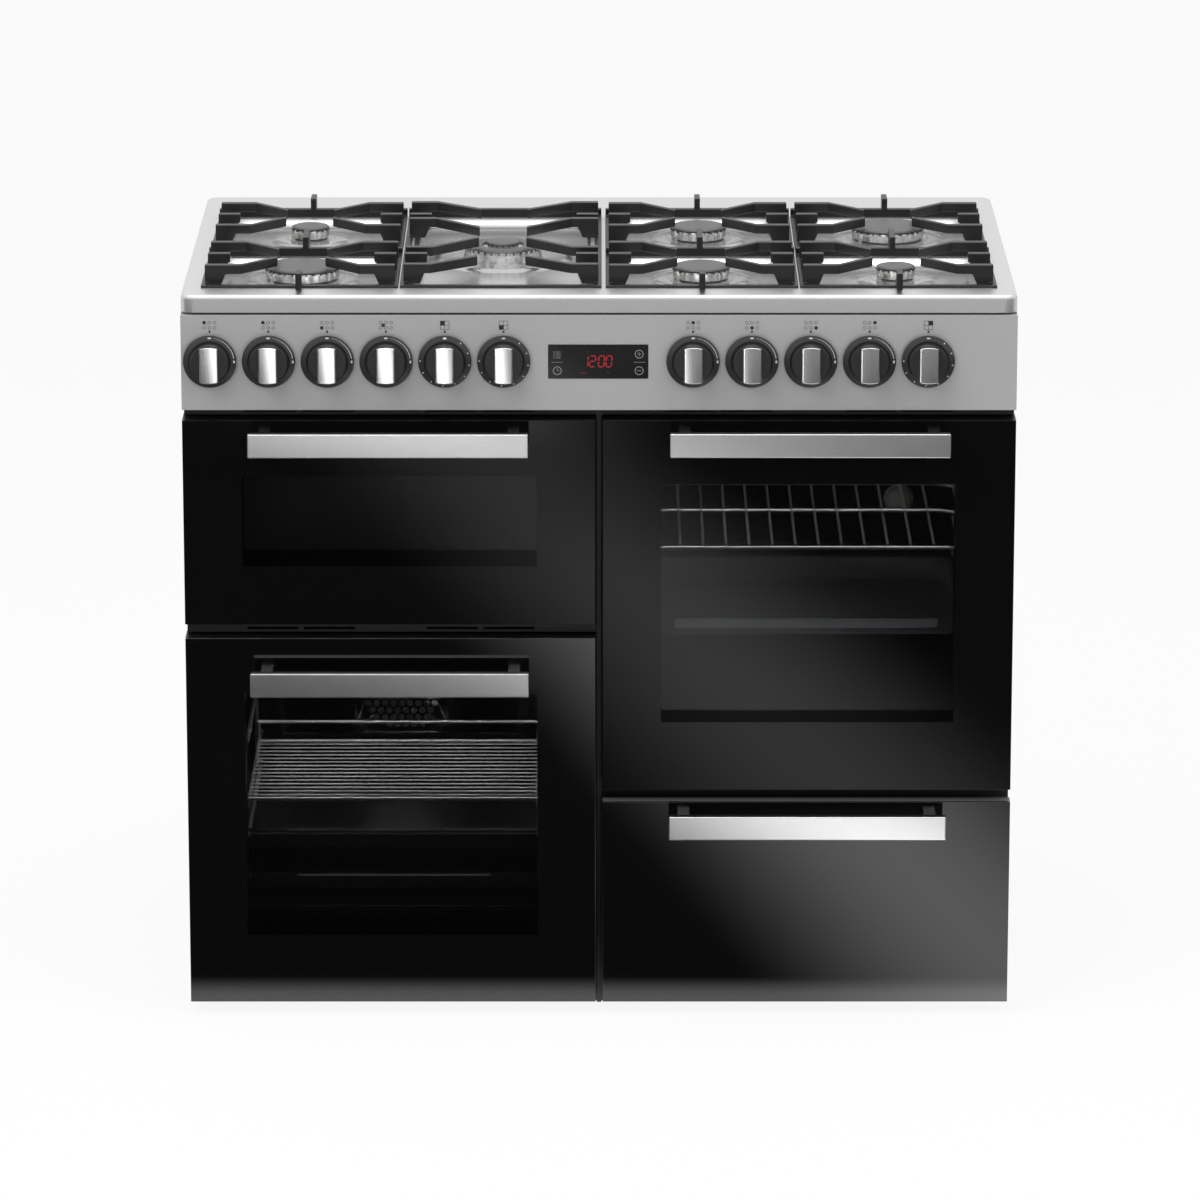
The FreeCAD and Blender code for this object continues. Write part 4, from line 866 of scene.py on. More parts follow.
class COOKER_OT_panel(bpy.types.Operator):
    """Finishes the control panel and prints its symbols"""
    bl_idname = "cooker.panel"
    bl_label = "Control panel"

    def execute(self, context):
        # The panel's steel is the hob's satin steel darkened as painted shade of a front-facing
        # face.
        softened("control_panel", "fascia", size_mm("steel_edge"), "panel", 3)
        bm = bmesh.new()
        for knob in GAS_KNOBS + OVEN_KNOBS:
            middle = middle_of(knob)
            self.dot(bm, middle.x, middle.z + DOT_RISE, 1.4, 1.4)
            if knob in KNOB_BURNER:
                self.gas_icon(bm, middle.x, middle.z + ICON_RISE, knob)
            else:
                self.oven_icon(bm, middle.x, middle.z + ICON_RISE,
                               OVEN_CELLS[OVEN_KNOBS.index(knob)])
        finish_piece(bm, "panel_print", "cooker", ["ink"])
        return {"FINISHED"}

    def dot(self, bm, x, z, radius, band):
        """Printed dot, or ring where the band is narrower than the radius."""
        inner = radius - band
        profile = [(inner, 0), (radius, 0), (radius, FILM), (inner, FILM)]
        if inner:
            profile.append((inner, 0))
        spun(bm, profile, (x, FRONT, z), 12, 0, FLIP_Y)

    def gas_icon(self, bm, x, z, knob):
        """Rings for the burners, with the knob's own burner filled."""
        places = BURNER_PLACES + ((WOK_PLACE,) if knob == WOK_KNOB else ())
        for across, up in places:
            own = (across, up) == KNOB_BURNER[knob]
            radius, band = (2.2, 2.2) if own else (2.0, 0.5)
            self.dot(bm, x + across * ICON_STEP[0], z + up * ICON_STEP[1], radius, band)
        rod(bm, (x - 4.6, FRONT - 0.02, z + 1.6), (x - 2.4, FRONT - 0.02, z), 0.2, 4)

    def oven_icon(self, bm, x, z, own):
        """Square of four cells with the oven's own cell filled."""
        for line in (-CELL, 0, CELL):
            brick(bm, x - CELL, x + CELL, FRONT - FILM, FRONT, z + line - LINE, z + line + LINE)
            brick(bm, x + line - LINE, x + line + LINE, FRONT - FILM, FRONT, z - CELL, z + CELL)
        across, up = own
        brick(bm, x + min(across, 0) * CELL, x + max(across, 0) * CELL, FRONT - FILM, FRONT,
              z + min(up, 0) * CELL, z + max(up, 0) * CELL)


# Knobs: outlines are (radius, height) points from the skirt's back

KNOB_GAP = 3.8
SKIRT = [(0, 0), (31.2, 0), (31.9, 0.5), (31.9, 1), (31.2, 1.5), (26.6, 3.1), (25.4, 3.3),
         (24.6, 2.6), (24.2, 2.6)]
BARREL = [(23.6, 3.2), (23.2, 12.2), (22.6, 13), (21.6, 13.2), (0, 13.2)]
BARREL_TOP = 13.2
SKIRT_EDGE, SKIRT_SLOPE, PRINT_LIFT = (31.2, 1.5), 0.348, 0.08
GRIP_HALF, GRIP_LENGTH, GRIP_BOW = 11, 22.0, 8
GRIP_RISE, GRIP_DISH, GRIP_EDGE = 12.6, 0.24, 0.7
SHAFT_RADIUS, SHAFT_LENGTH = 3.6, 16.7
OVEN_STEPS, OVEN_FIRST, OVEN_TURN = 9, 40, 29
FLAME_STEPS, FLAME_TURN = 18, 4


def knob_mark(bm, centre, start, end, inner, outer):
    """Flat printed arc on the knob's sloped skirt, between two clock angles."""
    foot, rise = SKIRT_EDGE
    turn = math.radians(start)
    verts = [bm.verts.new((r * math.cos(turn), r * math.sin(turn),
                           rise + (foot - r) * SKIRT_SLOPE + PRINT_LIFT)) for r in (inner, outer)]
    bmesh.ops.spin(bm, geom=verts + [bm.edges.new(verts)], cent=(0, 0, 0), axis=(0, 0, 1),
                   angle=math.radians(end - start), steps=max(2, int(abs(end - start) / 4)),
                   use_merge=False)
    strip = joined_to(verts)
    paint_faces(faces_of(strip), 3)
    bmesh.ops.transform(bm, matrix=Matrix.Translation(centre) @ FLIP_Y, verts=list(strip))


class COOKER_OT_knobs(bpy.types.Operator):
    """Makes every knob: sloped skirt with marks, black barrel and brushed grip"""
    bl_idname = "cooker.knobs"
    bl_label = "Knobs"

    def execute(self, context):
        for node in GAS_KNOBS + OVEN_KNOBS:
            self.knob(node)
        return {"FINISHED"}

    def knob(self, node):
        """One knob in place of its CAD node."""
        middle = middle_of(node)
        back = FRONT - KNOB_GAP
        centre = Vector((middle.x, back, middle.z))
        bm = bmesh.new()
        spun(bm, SKIRT + BARREL, centre, 72, 1, FLIP_Y)
        for face in bm.faces:
            off = face.calc_center_median() - centre
            if math.hypot(off.x, off.z) < 24.5 and off.y < -2:
                face.material_index = 0
        self.grip(bm, centre, back - BARREL_TOP)
        self.marks(bm, node, centre)
        if node in OVEN_KNOBS:
            rod(bm, (centre.x, back - 0.1, centre.z), (centre.x, back + SHAFT_LENGTH, centre.z),
                SHAFT_RADIUS, 20, 4)
        finish_piece(bm, "dial_" + node, NODES[node]["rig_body"],
                     ["dial", "skirt", "grip", "white", "brass"], [node])

    def grip(self, bm, centre, face_y):
        """Upright chrome bar with bowed ends and a gently dished face."""
        grid = bmesh.ops.create_grid(bm, x_segments=12, y_segments=1, size=1.0)["verts"]
        for v in grid:
            reach = math.sqrt(GRIP_LENGTH ** 2 - (v.co.x * GRIP_BOW) ** 2)
            v.co = Vector((centre.x + v.co.x * GRIP_HALF,
                           face_y - GRIP_RISE + GRIP_DISH * v.co.x ** 2,
                           centre.z + math.copysign(reach, v.co.y)))
        out = bmesh.ops.extrude_face_region(bm, geom=list(faces_of(grid)))["geom"]
        for v in only(bmesh.types.BMVert, out):
            v.co.y = face_y + 0.2
        grip = {v for v in bm.verts if v.co.y < face_y - 5} | set(grid)
        paint_faces(faces_of(grip), 2)
        round_edges(bm, sharp_edges({e for v in grip for e in v.link_edges}, 40), GRIP_EDGE)

    def marks(self, bm, node, centre):
        """Off mark, growing flame arc and flame, or the oven scale."""
        if node in OVEN_KNOBS:
            inner, outer = (27.6, 29.8) if node == OVEN_KNOBS[0] else (28.2, 29.4)
            knob_mark(bm, centre, 86, 94, inner, outer)
            for step in range(OVEN_STEPS):
                angle = 90 - OVEN_FIRST - step * OVEN_TURN
                knob_mark(bm, centre, angle - 1.2, angle + 1.2, 28.6, 30.2)
            return
        knob_mark(bm, centre, 86, 94, 28.2, 29.6)
        for step in range(FLAME_STEPS):
            angle = 80 - step * FLAME_TURN
            wide = 0.08 + step * 0.016
            knob_mark(bm, centre, angle, angle - FLAME_TURN, 29.2 - wide, 29.2 + wide)
        knob_mark(bm, centre, -3.0, 3.0, 28.2, 30.2)


# Clock: places are counted from the middle of the display's glass

LIGHT_FILM = 0.04
DIGITS = ((-15.5, "1"), (-6.7, "2"), (3.9, "0"), (12.9, "0"))
DIGIT_SIZE, SEGMENT, DIGIT_LEAN = (6.6, 13.4), 1.5, 0.09
LIT_SEGMENTS = {"0": "abcdef", "1": "bc", "2": "abged"}
COLON = ((-1.2, -0.5), (-2.2, 2.2))
LOWER_LIGHTS, UPPER_LIGHTS = (-22, -19, -16, 11), (-14, 6)
LIST_ROWS, LIST_PITCH, LIST_TOP = 4, 2.4, 11.4
KEY_INSET, KEY_LOW, KEY_HIGH = 10.5, -11.5, 8.8


class COOKER_OT_clock(bpy.types.Operator):
    """Makes the clock's glass, its red digits and the touch symbols"""
    bl_idname = "cooker.clock"
    bl_label = "Clock"

    def execute(self, context):
        low, high = box_mm("display_glass")
        bm = bmesh.new()
        brick(bm, low.x, high.x, low.y + 0.05, high.y, low.z, high.z)
        round_edges(bm, [e for e in bm.edges if abs(e.verts[0].co.y - e.verts[1].co.y) > 1],
                    2.0, 4)
        finish_piece(bm, "clock_glass", "cooker", ["display"], ["display_glass"])
        self.face = low.y
        x, z = (low.x + high.x) / 2, (low.z + high.z) / 2 + 0.5
        self.lights(x, z)
        self.symbols(low.x, high.x, z)
        return {"FINISHED"}

    def film(self, bm, x0, x1, z0, z1):
        """Thin lit or printed patch on the display's face."""
        return brick(bm, x0, x1, self.face, self.face + LIGHT_FILM, z0, z1)

    def lights(self, x, z):
        """Red digits, colon and small indicators."""
        bm = bmesh.new()
        for shift, digit in DIGITS:
            self.digit(bm, digit, x + shift, z)
        for rise in COLON[1]:
            self.film(bm, x + COLON[0][0], x + COLON[0][1], z + rise - 0.4, z + rise + 0.4)
        for shift in LOWER_LIGHTS:
            self.film(bm, x + shift, x + shift + 1.6, z - 14.6, z - 13.8)
        for shift in UPPER_LIGHTS:
            self.film(bm, x + shift, x + shift + 1.2, z + 11.4, z + 12.2)
        finish_piece(bm, "clock_lights", "cooker", ["red"])

    def symbols(self, left, right, z):
        """Grey touch symbols: a list, a clock, a plus and a minus in rings, and two bars."""
        bm = bmesh.new()
        for row in range(LIST_ROWS):
            line = z + LIST_TOP - row * LIST_PITCH
            self.film(bm, left + 8.6, left + 14.6, line - 0.25, line + 0.25)
            self.film(bm, left + 6.0, left + 7.2, line - 0.4, line + 0.4)
        clock, key = left + KEY_INSET, right - KEY_INSET
        low, high = z + KEY_LOW, z + KEY_HIGH
        ring = [(4.4, -LIGHT_FILM), (5.2, -LIGHT_FILM), (5.2, 0), (4.4, 0), (4.4, -LIGHT_FILM)]
        for ring_x, ring_z in ((clock, low), (key, high), (key, low)):
            spun(bm, ring, (ring_x, self.face + LIGHT_FILM, ring_z), 32, 0, FLIP_Y)
        self.film(bm, clock - 0.3, clock + 0.3, low - 0.3, low + 2.9)
        self.film(bm, clock - 0.3, clock + 2.1, low - 0.3, low + 0.3)
        for bar in (high, low):
            self.film(bm, key - 2.4, key + 2.4, bar - 0.3, bar + 0.3)
        self.film(bm, key - 0.3, key + 0.3, high - 2.4, high + 2.4)
        for start, end in ((left + 3.6, left + 17.2), (right - 17.2, right - 3.6)):
            self.film(bm, start, end, z - 1.3, z - 0.9)
        finish_piece(bm, "clock_symbols", "cooker", ["dim"])

    def digit(self, bm, digit, x, z):
        """One seven-segment digit, leaning slightly."""
        wide, tall = DIGIT_SIZE
        across, along = (wide - SEGMENT, SEGMENT), (SEGMENT, tall / 2 - SEGMENT)
        places = {"a": (0, tall / 2, across), "g": (0, 0, across), "d": (0, -tall / 2, across),
                  "f": (-wide / 2, tall / 4, along), "b": (wide / 2, tall / 4, along),
                  "e": (-wide / 2, -tall / 4, along), "c": (wide / 2, -tall / 4, along)}
        for key in LIT_SEGMENTS[digit]:
            dx, dz, (w, h) = places[key]
            for v in self.film(bm, x + dx - w / 2, x + dx + w / 2,
                               z + dz - h / 2, z + dz + h / 2):
                v.co.x += (v.co.z - z) * DIGIT_LEAN


# Doors

WINDOW_HALF = 177.2
# Each window's rise over the foot of its pane, height, dark lower band and that band's finish
WINDOWS = {"grill": (72.5, 112.0, 20.0, "ledge"), "fan_oven": (85.5, 306.0, 19.0, "ledge"),
           "main_oven": (85.5, 297.0, 15.0, "dull ledge")}
PANE_THICKNESS, PANE_EDGE = 4, 0.6
BAR_THICKNESS, BAR_EDGE = 12, 1.1
POST_INSET, POST_HALF_WIDTH, POST_HALF_HEIGHT = 18, 7, 9


def glass_pane(bm, x0, x1, y0, y1, z0, z1, window=None, band=0.0):
    """Toughened pane with ground edges; the window takes material 1, its lower band 2."""
    brick(bm, x0, x1, y0, y1, z0, z1)
    round_edges(bm, list(bm.edges), PANE_EDGE)
    if window is None:
        return
    left, right, foot, head = window
    for side in (left, right):
        cut_along(bm, (side, 0, 0), (1, 0, 0))
    for height in (foot, head, foot + band):
        cut_along(bm, (0, 0, height), (0, 0, 1))
    for face in bm.faces:
        middle = face.calc_center_median()
        if left < middle.x < right and foot < middle.z < head:
            face.material_index = 2 if middle.z < foot + band else 1


def bar_handle(node, name):
    """Flat bar with soft edges on two posts."""
    low, high = box_mm(node)
    middle = (low.z + high.z) / 2
    bm = bmesh.new()
    brick(bm, low.x, high.x, low.y, low.y + BAR_THICKNESS, low.z, high.z)
    round_edges(bm, list(bm.edges), BAR_EDGE, 3)
    for x in (low.x + POST_INSET, high.x - POST_INSET):
        brick(bm, x - POST_HALF_WIDTH, x + POST_HALF_WIDTH, low.y + BAR_THICKNESS - 1, high.y,
              middle - POST_HALF_HEIGHT, middle + POST_HALF_HEIGHT)
    finish_piece(bm, name, NODES[node]["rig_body"], ["handle"], [node])


class COOKER_OT_doors(bpy.types.Operator):
    """Makes the printed door panes with their windows, and the handles"""
    bl_idname = "cooker.doors"
    bl_label = "Doors"

    def execute(self, context):
        for oven, (rise, height, band, ledge) in WINDOWS.items():
            node, door = oven + "_door_glass", oven + "_door"
            low, high = box_mm(node)
            middle = (low.x + high.x) / 2
            left, right = middle - WINDOW_HALF, middle + WINDOW_HALF
            foot, head = low.z + rise, low.z + rise + height
            front = bmesh.new()
            glass_pane(front, low.x, high.x, low.y, low.y + PANE_THICKNESS, low.z, high.z,
                       (left, right, foot, head), band)
            pane = "lower glass" if oven == "fan_oven" else "glass"
            finish_piece(front, oven + "_front_pane", door,
                         [pane, "window", ledge], [node])
            inner = bmesh.new()
            glass_pane(inner, left, right, high.y - PANE_THICKNESS, high.y, foot, head)
            finish_piece(inner, oven + "_inner_pane", door, ["clear"])
            bar_handle(door + "_handle", oven + "_bar")
        low, high = box_mm("drawer_glass")
        pane = bmesh.new()
        glass_pane(pane, low.x, high.x, low.y, high.y, low.z, high.z)
        finish_piece(pane, "drawer_pane", "storage_drawer",
                     ["lower glass"], ["drawer_glass"])
        bar_handle("drawer_handle", "drawer_bar")
        return {"FINISHED"}


# Oven insides: depths are counted back from the ovens' mouth

LINER_SHEET = 1.5
LOWEST_RUNG = 29
# Where the rungs stand between the lowest one and the ceiling, as shares of that height
RUNG_SHARES = {"fan_oven": (0.0, 0.17491, 0.297, 0.57096),
               "main_oven": (0.25337, 0.4009, 0.5324, 0.7601)}
SHELF_RUNG = 2
# The fan oven's racks stand this much further in from the walls, on pegs
FAN_INSET = 17
POST_TO_WALL, RUNG_TO_POST = 2.5, 5
POST_DEPTHS, RUNG_DEPTHS = (25, 345), (13, 357)
POST_END, PEG_END = 12, 20
# Oven, rung, half width and height of each tray's lip, whose light grey is a painted highlight of
# the lit front rim
TRAY_LIP_HIGHLIGHTS = (("fan_oven", 0, 118, 2.0), ("fan_oven", 1, 176, 2.0), ("main_oven", 0, 160, 11.5))
LIP_DEPTHS, LIP_RISE = (23.6, 24.9), 1
RAIL_RISE, GRID_RISE, SHELF_START, SHELF_GAP = 5, 10, 16, 8
FAN_WIRES, FAN_WIRE_PITCH, BACK_STOP = 17, 16.2, 25
MAIN_WIRES, MAIN_WIRE_PITCH, MAIN_RAIL_HALF = 12, 28, 172
MAIN_RAIL_DEPTHS = (0, 190, 330)
Inside = namedtuple("Inside", "middle half mouth floor ceiling rungs")


def inside_of(oven):
    """Middle, half width, mouth, floor, ceiling and rung heights of an oven."""
    low, high = box_mm(oven + "_cavity")
    floor, ceiling = low.z + LINER_SHEET, high.z - LINER_SHEET
    lowest = floor + LOWEST_RUNG
    return Inside((low.x + high.x) / 2, (high.x - low.x) / 2 - LINER_SHEET, low.y, floor, ceiling,
                  [lowest + share * (ceiling - lowest) for share in RUNG_SHARES[oven]])


class COOKER_OT_shelves(bpy.types.Operator):
    """Makes the wire shelves and side racks from round wire, and the trays"""
    bl_idname = "cooker.shelves"
    bl_label = "Shelves and trays"

    def execute(self, context):
        self.thick = size_mm("wire_radius")
        self.racks()
        self.shelves()
        softened("oven_trays", "enamel_trays", 0.45, "tray")
        self.tray_lip_highlights()
        return {"FINISHED"}

    def tray_lip_highlights(self):
        """Rolled front lip of each tray, deep on the main oven's, in light grey as a painted
        highlight of the lit rim.
        """
        bm = bmesh.new()
        for oven, rung, half, height in TRAY_LIP_HIGHLIGHTS:
            inside = inside_of(oven)
            x, top = inside.middle, inside.rungs[rung] + LIP_RISE
            brick(bm, x - half, x + half, inside.mouth + LIP_DEPTHS[0],
                  inside.mouth + LIP_DEPTHS[1], top - height, top)
        finish_piece(bm, "tray_lip_highlights", "cooker", ["lip"])

    def racks(self):
        """Ladders of round wire against the oven walls, on pegs in the fan oven."""
        bm = bmesh.new()
        for oven in RUNG_SHARES:
            inside = inside_of(oven)
            low, high = inside.floor + POST_END, inside.ceiling - POST_END
            inset, pegs = 0, ()
            if oven == "fan_oven":
                inset, pegs = FAN_INSET, (inside.floor + PEG_END, inside.ceiling - PEG_END)
            for hand in (-1, 1):
                wall = inside.middle + hand * inside.half
                post = wall - hand * (POST_TO_WALL + inset)
                rung = post - hand * RUNG_TO_POST
                for depth in POST_DEPTHS:
                    y = inside.mouth + depth
                    rod(bm, (post, y, low), (post, y, high), self.thick)
                    for z in pegs:
                        rod(bm, (post, y, z), (wall, y, z), self.thick)
                for z in inside.rungs:
                    rod(bm, (rung, inside.mouth + RUNG_DEPTHS[0], z),
                        (rung, inside.mouth + RUNG_DEPTHS[1], z), self.thick)
        finish_piece(bm, "rack_wires", "cooker", ["wire"], ["side_racks"])

    def shelves(self):
        """Both shelves as one piece."""
        bm = bmesh.new()
        self.fan_shelf(bm, inside_of("fan_oven"))
        self.main_shelf(bm, inside_of("main_oven"))
        finish_piece(bm, "shelf_wires", "cooker", ["wire"], ["wire_shelves"])

    def fan_shelf(self, bm, inside):
        """Close grid of cross wires on two side rails that turn up at the back."""
        rail, grid = inside.rungs[SHELF_RUNG] + RAIL_RISE, inside.rungs[SHELF_RUNG] + GRID_RISE
        reach = inside.half - FAN_INSET - SHELF_GAP
        left, right = inside.middle - reach, inside.middle + reach
        front = inside.mouth + SHELF_START
        back = front + (FAN_WIRES - 1) * FAN_WIRE_PITCH
        stop = grid + BACK_STOP
        for side in (left + 0.5, right - 0.5):
            rod(bm, (side, front - 2, rail), (side, back + 5, rail), self.thick)
            rod(bm, (side, back, rail), (side, back, stop - 0.5), self.thick)
        for i in range(FAN_WIRES):
            y = front + i * FAN_WIRE_PITCH
            wire = self.thick if i in (0, FAN_WIRES - 1) else self.thick * 0.5
            rod(bm, (left, y, grid), (right, y, grid), wire)
        rod(bm, (left, back, stop), (right, back, stop), self.thick)

    def main_shelf(self, bm, inside):
        """Open grid of lengthwise wires on three cross rails whose ends slope down."""
        rail, grid = inside.rungs[SHELF_RUNG] + RAIL_RISE, inside.rungs[SHELF_RUNG] + GRID_RISE
        x, reach = inside.middle, inside.half - SHELF_GAP
        front = inside.mouth + SHELF_START
        for depth in MAIN_RAIL_DEPTHS:
            y = front + depth
            rod(bm, (x - MAIN_RAIL_HALF, y, rail), (x + MAIN_RAIL_HALF, y, rail), self.thick)
            for hand in (-1, 1):
                rod(bm, (x + hand * (MAIN_RAIL_HALF - 1), y, rail),
                    (x + hand * reach, y, rail - 4), self.thick)
        for i in range(MAIN_WIRES):
            wire_x = x + (i - (MAIN_WIRES - 1) / 2) * MAIN_WIRE_PITCH
            rod(bm, (wire_x, front - 2, grid), (wire_x, front + MAIN_RAIL_DEPTHS[-1] + 2, grid),
                self.thick * 0.7)


# Fan cover

RAISED_HALF, RAISED_BY = 62, 3
COVER_CORNER, COVER_SHEET = 6.0, 1.2
HOLE_RADIUS, HOLE_PITCH, HOLE_ROWS = 4.5, 10.6, 5
SLOT_PLACE, SLOT_HALF = (112, 55), (35, 3.5)
CUTTER_REACH = 20


class COOKER_OT_fan_cover(bpy.types.Operator):
    """Makes the fan cover with its hexagonal holes and slots"""
    bl_idname = "cooker.fan_cover"
    bl_label = "Fan cover"

    def execute(self, context):
        low, high = box_mm("fan_cover")
        x, z = (low.x + high.x) / 2, (low.z + high.z) / 2
        plate = self.plate(low, high, x, z)
        piece = finish_piece(plate, "perforated_cover", "cooker", ["enamel"],
                             ["fan_cover"])
        cutter = finish_piece(self.holes(low.y, x, z), "hole_cutter", "cooker",
                              ["enamel"])
        solid = piece.modifiers.new("Sheet", "SOLIDIFY")
        solid.thickness = COVER_SHEET * MM
        solid.offset = -1
        cut = piece.modifiers.new("Holes", "BOOLEAN")
        cut.operation = "DIFFERENCE"
        cut.object = cutter
        cut.solver = "EXACT"
        depsgraph = bpy.context.evaluated_depsgraph_get()
        mesh = bpy.data.meshes.new_from_object(piece.evaluated_get(depsgraph))
        piece.modifiers.clear()
        sheet = piece.data
        piece.data = mesh
        bpy.data.meshes.remove(sheet)
        bpy.data.objects.remove(cutter)
        return {"FINISHED"}

    def plate(self, low, high, x, z):
        """Open-backed cover with round corners and a raised square over the fan."""
        bm = bmesh.new()
        brick(bm, low.x, high.x, low.y, high.y, low.z, high.z)
        round_edges(bm, [e for e in bm.edges if min(v.co.y for v in e.verts) < low.y + 1],
                    COVER_CORNER, 4)
        back = [f for f in bm.faces if f.calc_center_median().y > high.y - 0.01]
        bmesh.ops.delete(bm, geom=back, context="FACES")
        for way, middle in ((Vector((1, 0, 0)), x), (Vector((0, 0, 1)), z)):
            for side in (-RAISED_HALF, RAISED_HALF):
                cut_along(bm, way * (middle + side), way)
        raised_faces = [f for f in bm.faces if f.normal.y < -0.9
                        and abs(f.calc_center_median().x - x) < RAISED_HALF
                        and abs(f.calc_center_median().z - z) < RAISED_HALF]
        lifted = bmesh.ops.extrude_face_region(bm, geom=raised_faces)["geom"]
        bmesh.ops.delete(bm, geom=raised_faces, context="FACES_ONLY")
        bmesh.ops.translate(bm, vec=(0, -RAISED_BY, 0), verts=only(bmesh.types.BMVert, lifted))
        return bm

    def holes(self, y, x, z):
        """Cutter of hexagonal rods in a hexagon, with a slot at each corner."""
        bm = bmesh.new()
        rod_outline = [(0, -CUTTER_REACH), (HOLE_RADIUS, -CUTTER_REACH),
                       (HOLE_RADIUS, CUTTER_REACH), (0, CUTTER_REACH)]
        for row in range(-HOLE_ROWS, HOLE_ROWS + 1):
            count = 2 * HOLE_ROWS + 1 - abs(row)
            for i in range(count):
                spun(bm, rod_outline, (x + (i - (count - 1) / 2) * HOLE_PITCH, y,
                                       z + row * HOLE_PITCH * math.sqrt(0.75)), 6, 0, FLIP_Y)
        for across in (-1, 1):
            for up in (-1, 1):
                slot_x, slot_z = x + across * SLOT_PLACE[0], z + up * SLOT_PLACE[1]
                brick(bm, slot_x - SLOT_HALF[0], slot_x + SLOT_HALF[0], y - CUTTER_REACH,
                      y + CUTTER_REACH, slot_z - SLOT_HALF[1], slot_z + SLOT_HALF[1])
        return bm


# Heating: depths are counted forwards from the ovens' back wall

ELEMENT_RADIUS, ELEMENT_DROP = 3.4, 16
ELEMENT_RUNS, ELEMENT_PITCH = 6, 54.0
FRONT_TURN, BACK_TURN, TURN_LENGTH, LEAD = 314, 24, 14, 30
RING_RADIUS, RING_STAND_OFF, RING_POINTS, RING_OPENING = 84, 19, 25, 10
LAMP_CAP = [(0, 0), (18.8, 0), (18.8, 4), (17.5, 5), (16, 5), (15.6, 12), (13, 15), (8, 16),
            (0, 16)]


class COOKER_OT_heating(bpy.types.Operator):
    """Bends the heating elements from round tube and makes the lamp caps"""
    bl_idname = "cooker.heating"
    bl_label = "Elements and lamps"

    def execute(self, context):
        wall = box_mm("heating_elements")[1].y
        self.zigzag("grill_element", "grill_cavity", wall, ["heating_elements"])
        self.zigzag("top_element", "main_oven_cavity", wall)
        self.ring(wall)
        lamps = bmesh.new()
        y = box_mm("oven_lamps")[1].y
        for x, z in self.lamp_spots():
            spun(lamps, LAMP_CAP, (x, y, z), 40, 0, FLIP_Y)
        finish_piece(lamps, "lamp_caps", "cooker", ["lamp"], ["oven_lamps"])
        return {"FINISHED"}

    def zigzag(self, name, cavity, wall, replaced=()):
        """Flat element that goes to and fro under an oven's ceiling."""
        low, high = box_mm(cavity)
        z = high.z - LINER_SHEET - ELEMENT_DROP
        x = (low.x + high.x) / 2 - (ELEMENT_RUNS - 1) / 2 * ELEMENT_PITCH
        points = [(x, wall, z), (x, wall - LEAD, z)]
        for run in range(ELEMENT_RUNS - 1):
            turn, straight = wall - FRONT_TURN, wall - FRONT_TURN + TURN_LENGTH
            if run % 2:
                turn, straight = wall - BACK_TURN, wall - BACK_TURN - TURN_LENGTH
            across = x + ELEMENT_PITCH
            points += [(x, straight, z), (x, turn, z), (across, turn, z), (across, straight, z)]
            x = across
        points += [(x, wall - LEAD, z), (x, wall, z)]
        tube(name, points, ELEMENT_RADIUS, "element", replaced)

    def ring(self, wall):
        """Round element about the fan, open at the foot."""
        middle = middle_of("fan_cover")
        points = []
        for i in range(RING_POINTS):
            sweep = (360 - 2 * RING_OPENING) / (RING_POINTS - 1)
            angle = math.radians(RING_OPENING + i * sweep)
            points.append((middle.x + RING_RADIUS * math.sin(angle), wall - RING_STAND_OFF,
                           middle.z - RING_RADIUS * math.cos(angle)))
        first, last = points[0], points[-1]
        points = [(first[0], wall, first[2])] + points + [(last[0], wall, last[2])]
        tube("ring_element", points, ELEMENT_RADIUS, "element")

    def lamp_spots(self):
        """Middles of the lamps, from the two loose parts of their node."""
        spots = []
        for hand in (-1, 1):
            group = [v.co / MM for v in NODES["oven_lamps"].data.vertices if v.co.x * hand > 0]
            spots.append(((min(c.x for c in group) + max(c.x for c in group)) / 2,
                          (min(c.z for c in group) + max(c.z for c in group)) / 2))
        return spots


# Case, with the finish of each node that keeps its CAD shape

KEPT_NODES = {
    "side_panels": "paint", "back_panel": "zinc", "base_pan": "zinc",
    "levelling_feet": "housing", "front_frame": "paint", "front_fittings": "paint",
    "gas_manifold": "steel", "electrical_units": "housing", "grill_cavity": "enamel",
    "fan_oven_cavity": "enamel", "main_oven_cavity": "enamel", "door_seals": "rubber",
    "drawer_runners": "zinc", "drawer_box": "grey", "fan_impeller": "crown"}
SPINDLES = ["gas_spindle_%d" % i for i in range(1, 9)]
STRIP_HALF_WIDTH, STRIP_DEPTHS, STRIP_HEIGHTS = 16, (-1.9, -0.1), (3, 17)
# The inner edge of the ledge beside a window lies between the first two distances from the
# door's middle, and moves out to the third
LEDGE_NEAR, LEDGE_FAR, TRIMMED_LEDGE = 168.5, 170, 176.8


class COOKER_OT_case(bpy.types.Operator):
    """Finishes the case, frame, liners and hidden parts that keep their CAD shape"""
    bl_idname = "cooker.case"
    bl_label = "Case and liners"

    def execute(self, context):
        for oven in WINDOWS:
            self.door_tray(oven + "_door")
        mouth = box_mm("main_oven_cavity")[0].y
        strip = bmesh.new()
        brick(strip, -STRIP_HALF_WIDTH, STRIP_HALF_WIDTH, mouth + STRIP_DEPTHS[0],
              mouth + STRIP_DEPTHS[1], *STRIP_HEIGHTS)
        finish_piece(strip, "lower_strip", "cooker", ["paint"])
        for node, key in {**KEPT_NODES, **dict.fromkeys(SPINDLES, "brass")}.items():
            data = NODES[node].data
            data.materials.clear()
            data.materials.append(finish(key))
        return {"FINISHED"}

    def door_tray(self, door):
        """Door frame with the ledges beside its window trimmed to the window."""
        node = door + "_frame"
        x = middle_of(node).x
        bm = copy_of(NODES[node].data)
        for v in bm.verts:
            if LEDGE_NEAR < abs(v.co.x - x) < LEDGE_FAR:
                v.co.x = x + math.copysign(TRIMMED_LEDGE, v.co.x - x)
        paint_faces(bm.faces, 0)
        finish_piece(bm, door + "_tray", door, ["paint"], [node])


# Stage, in metres

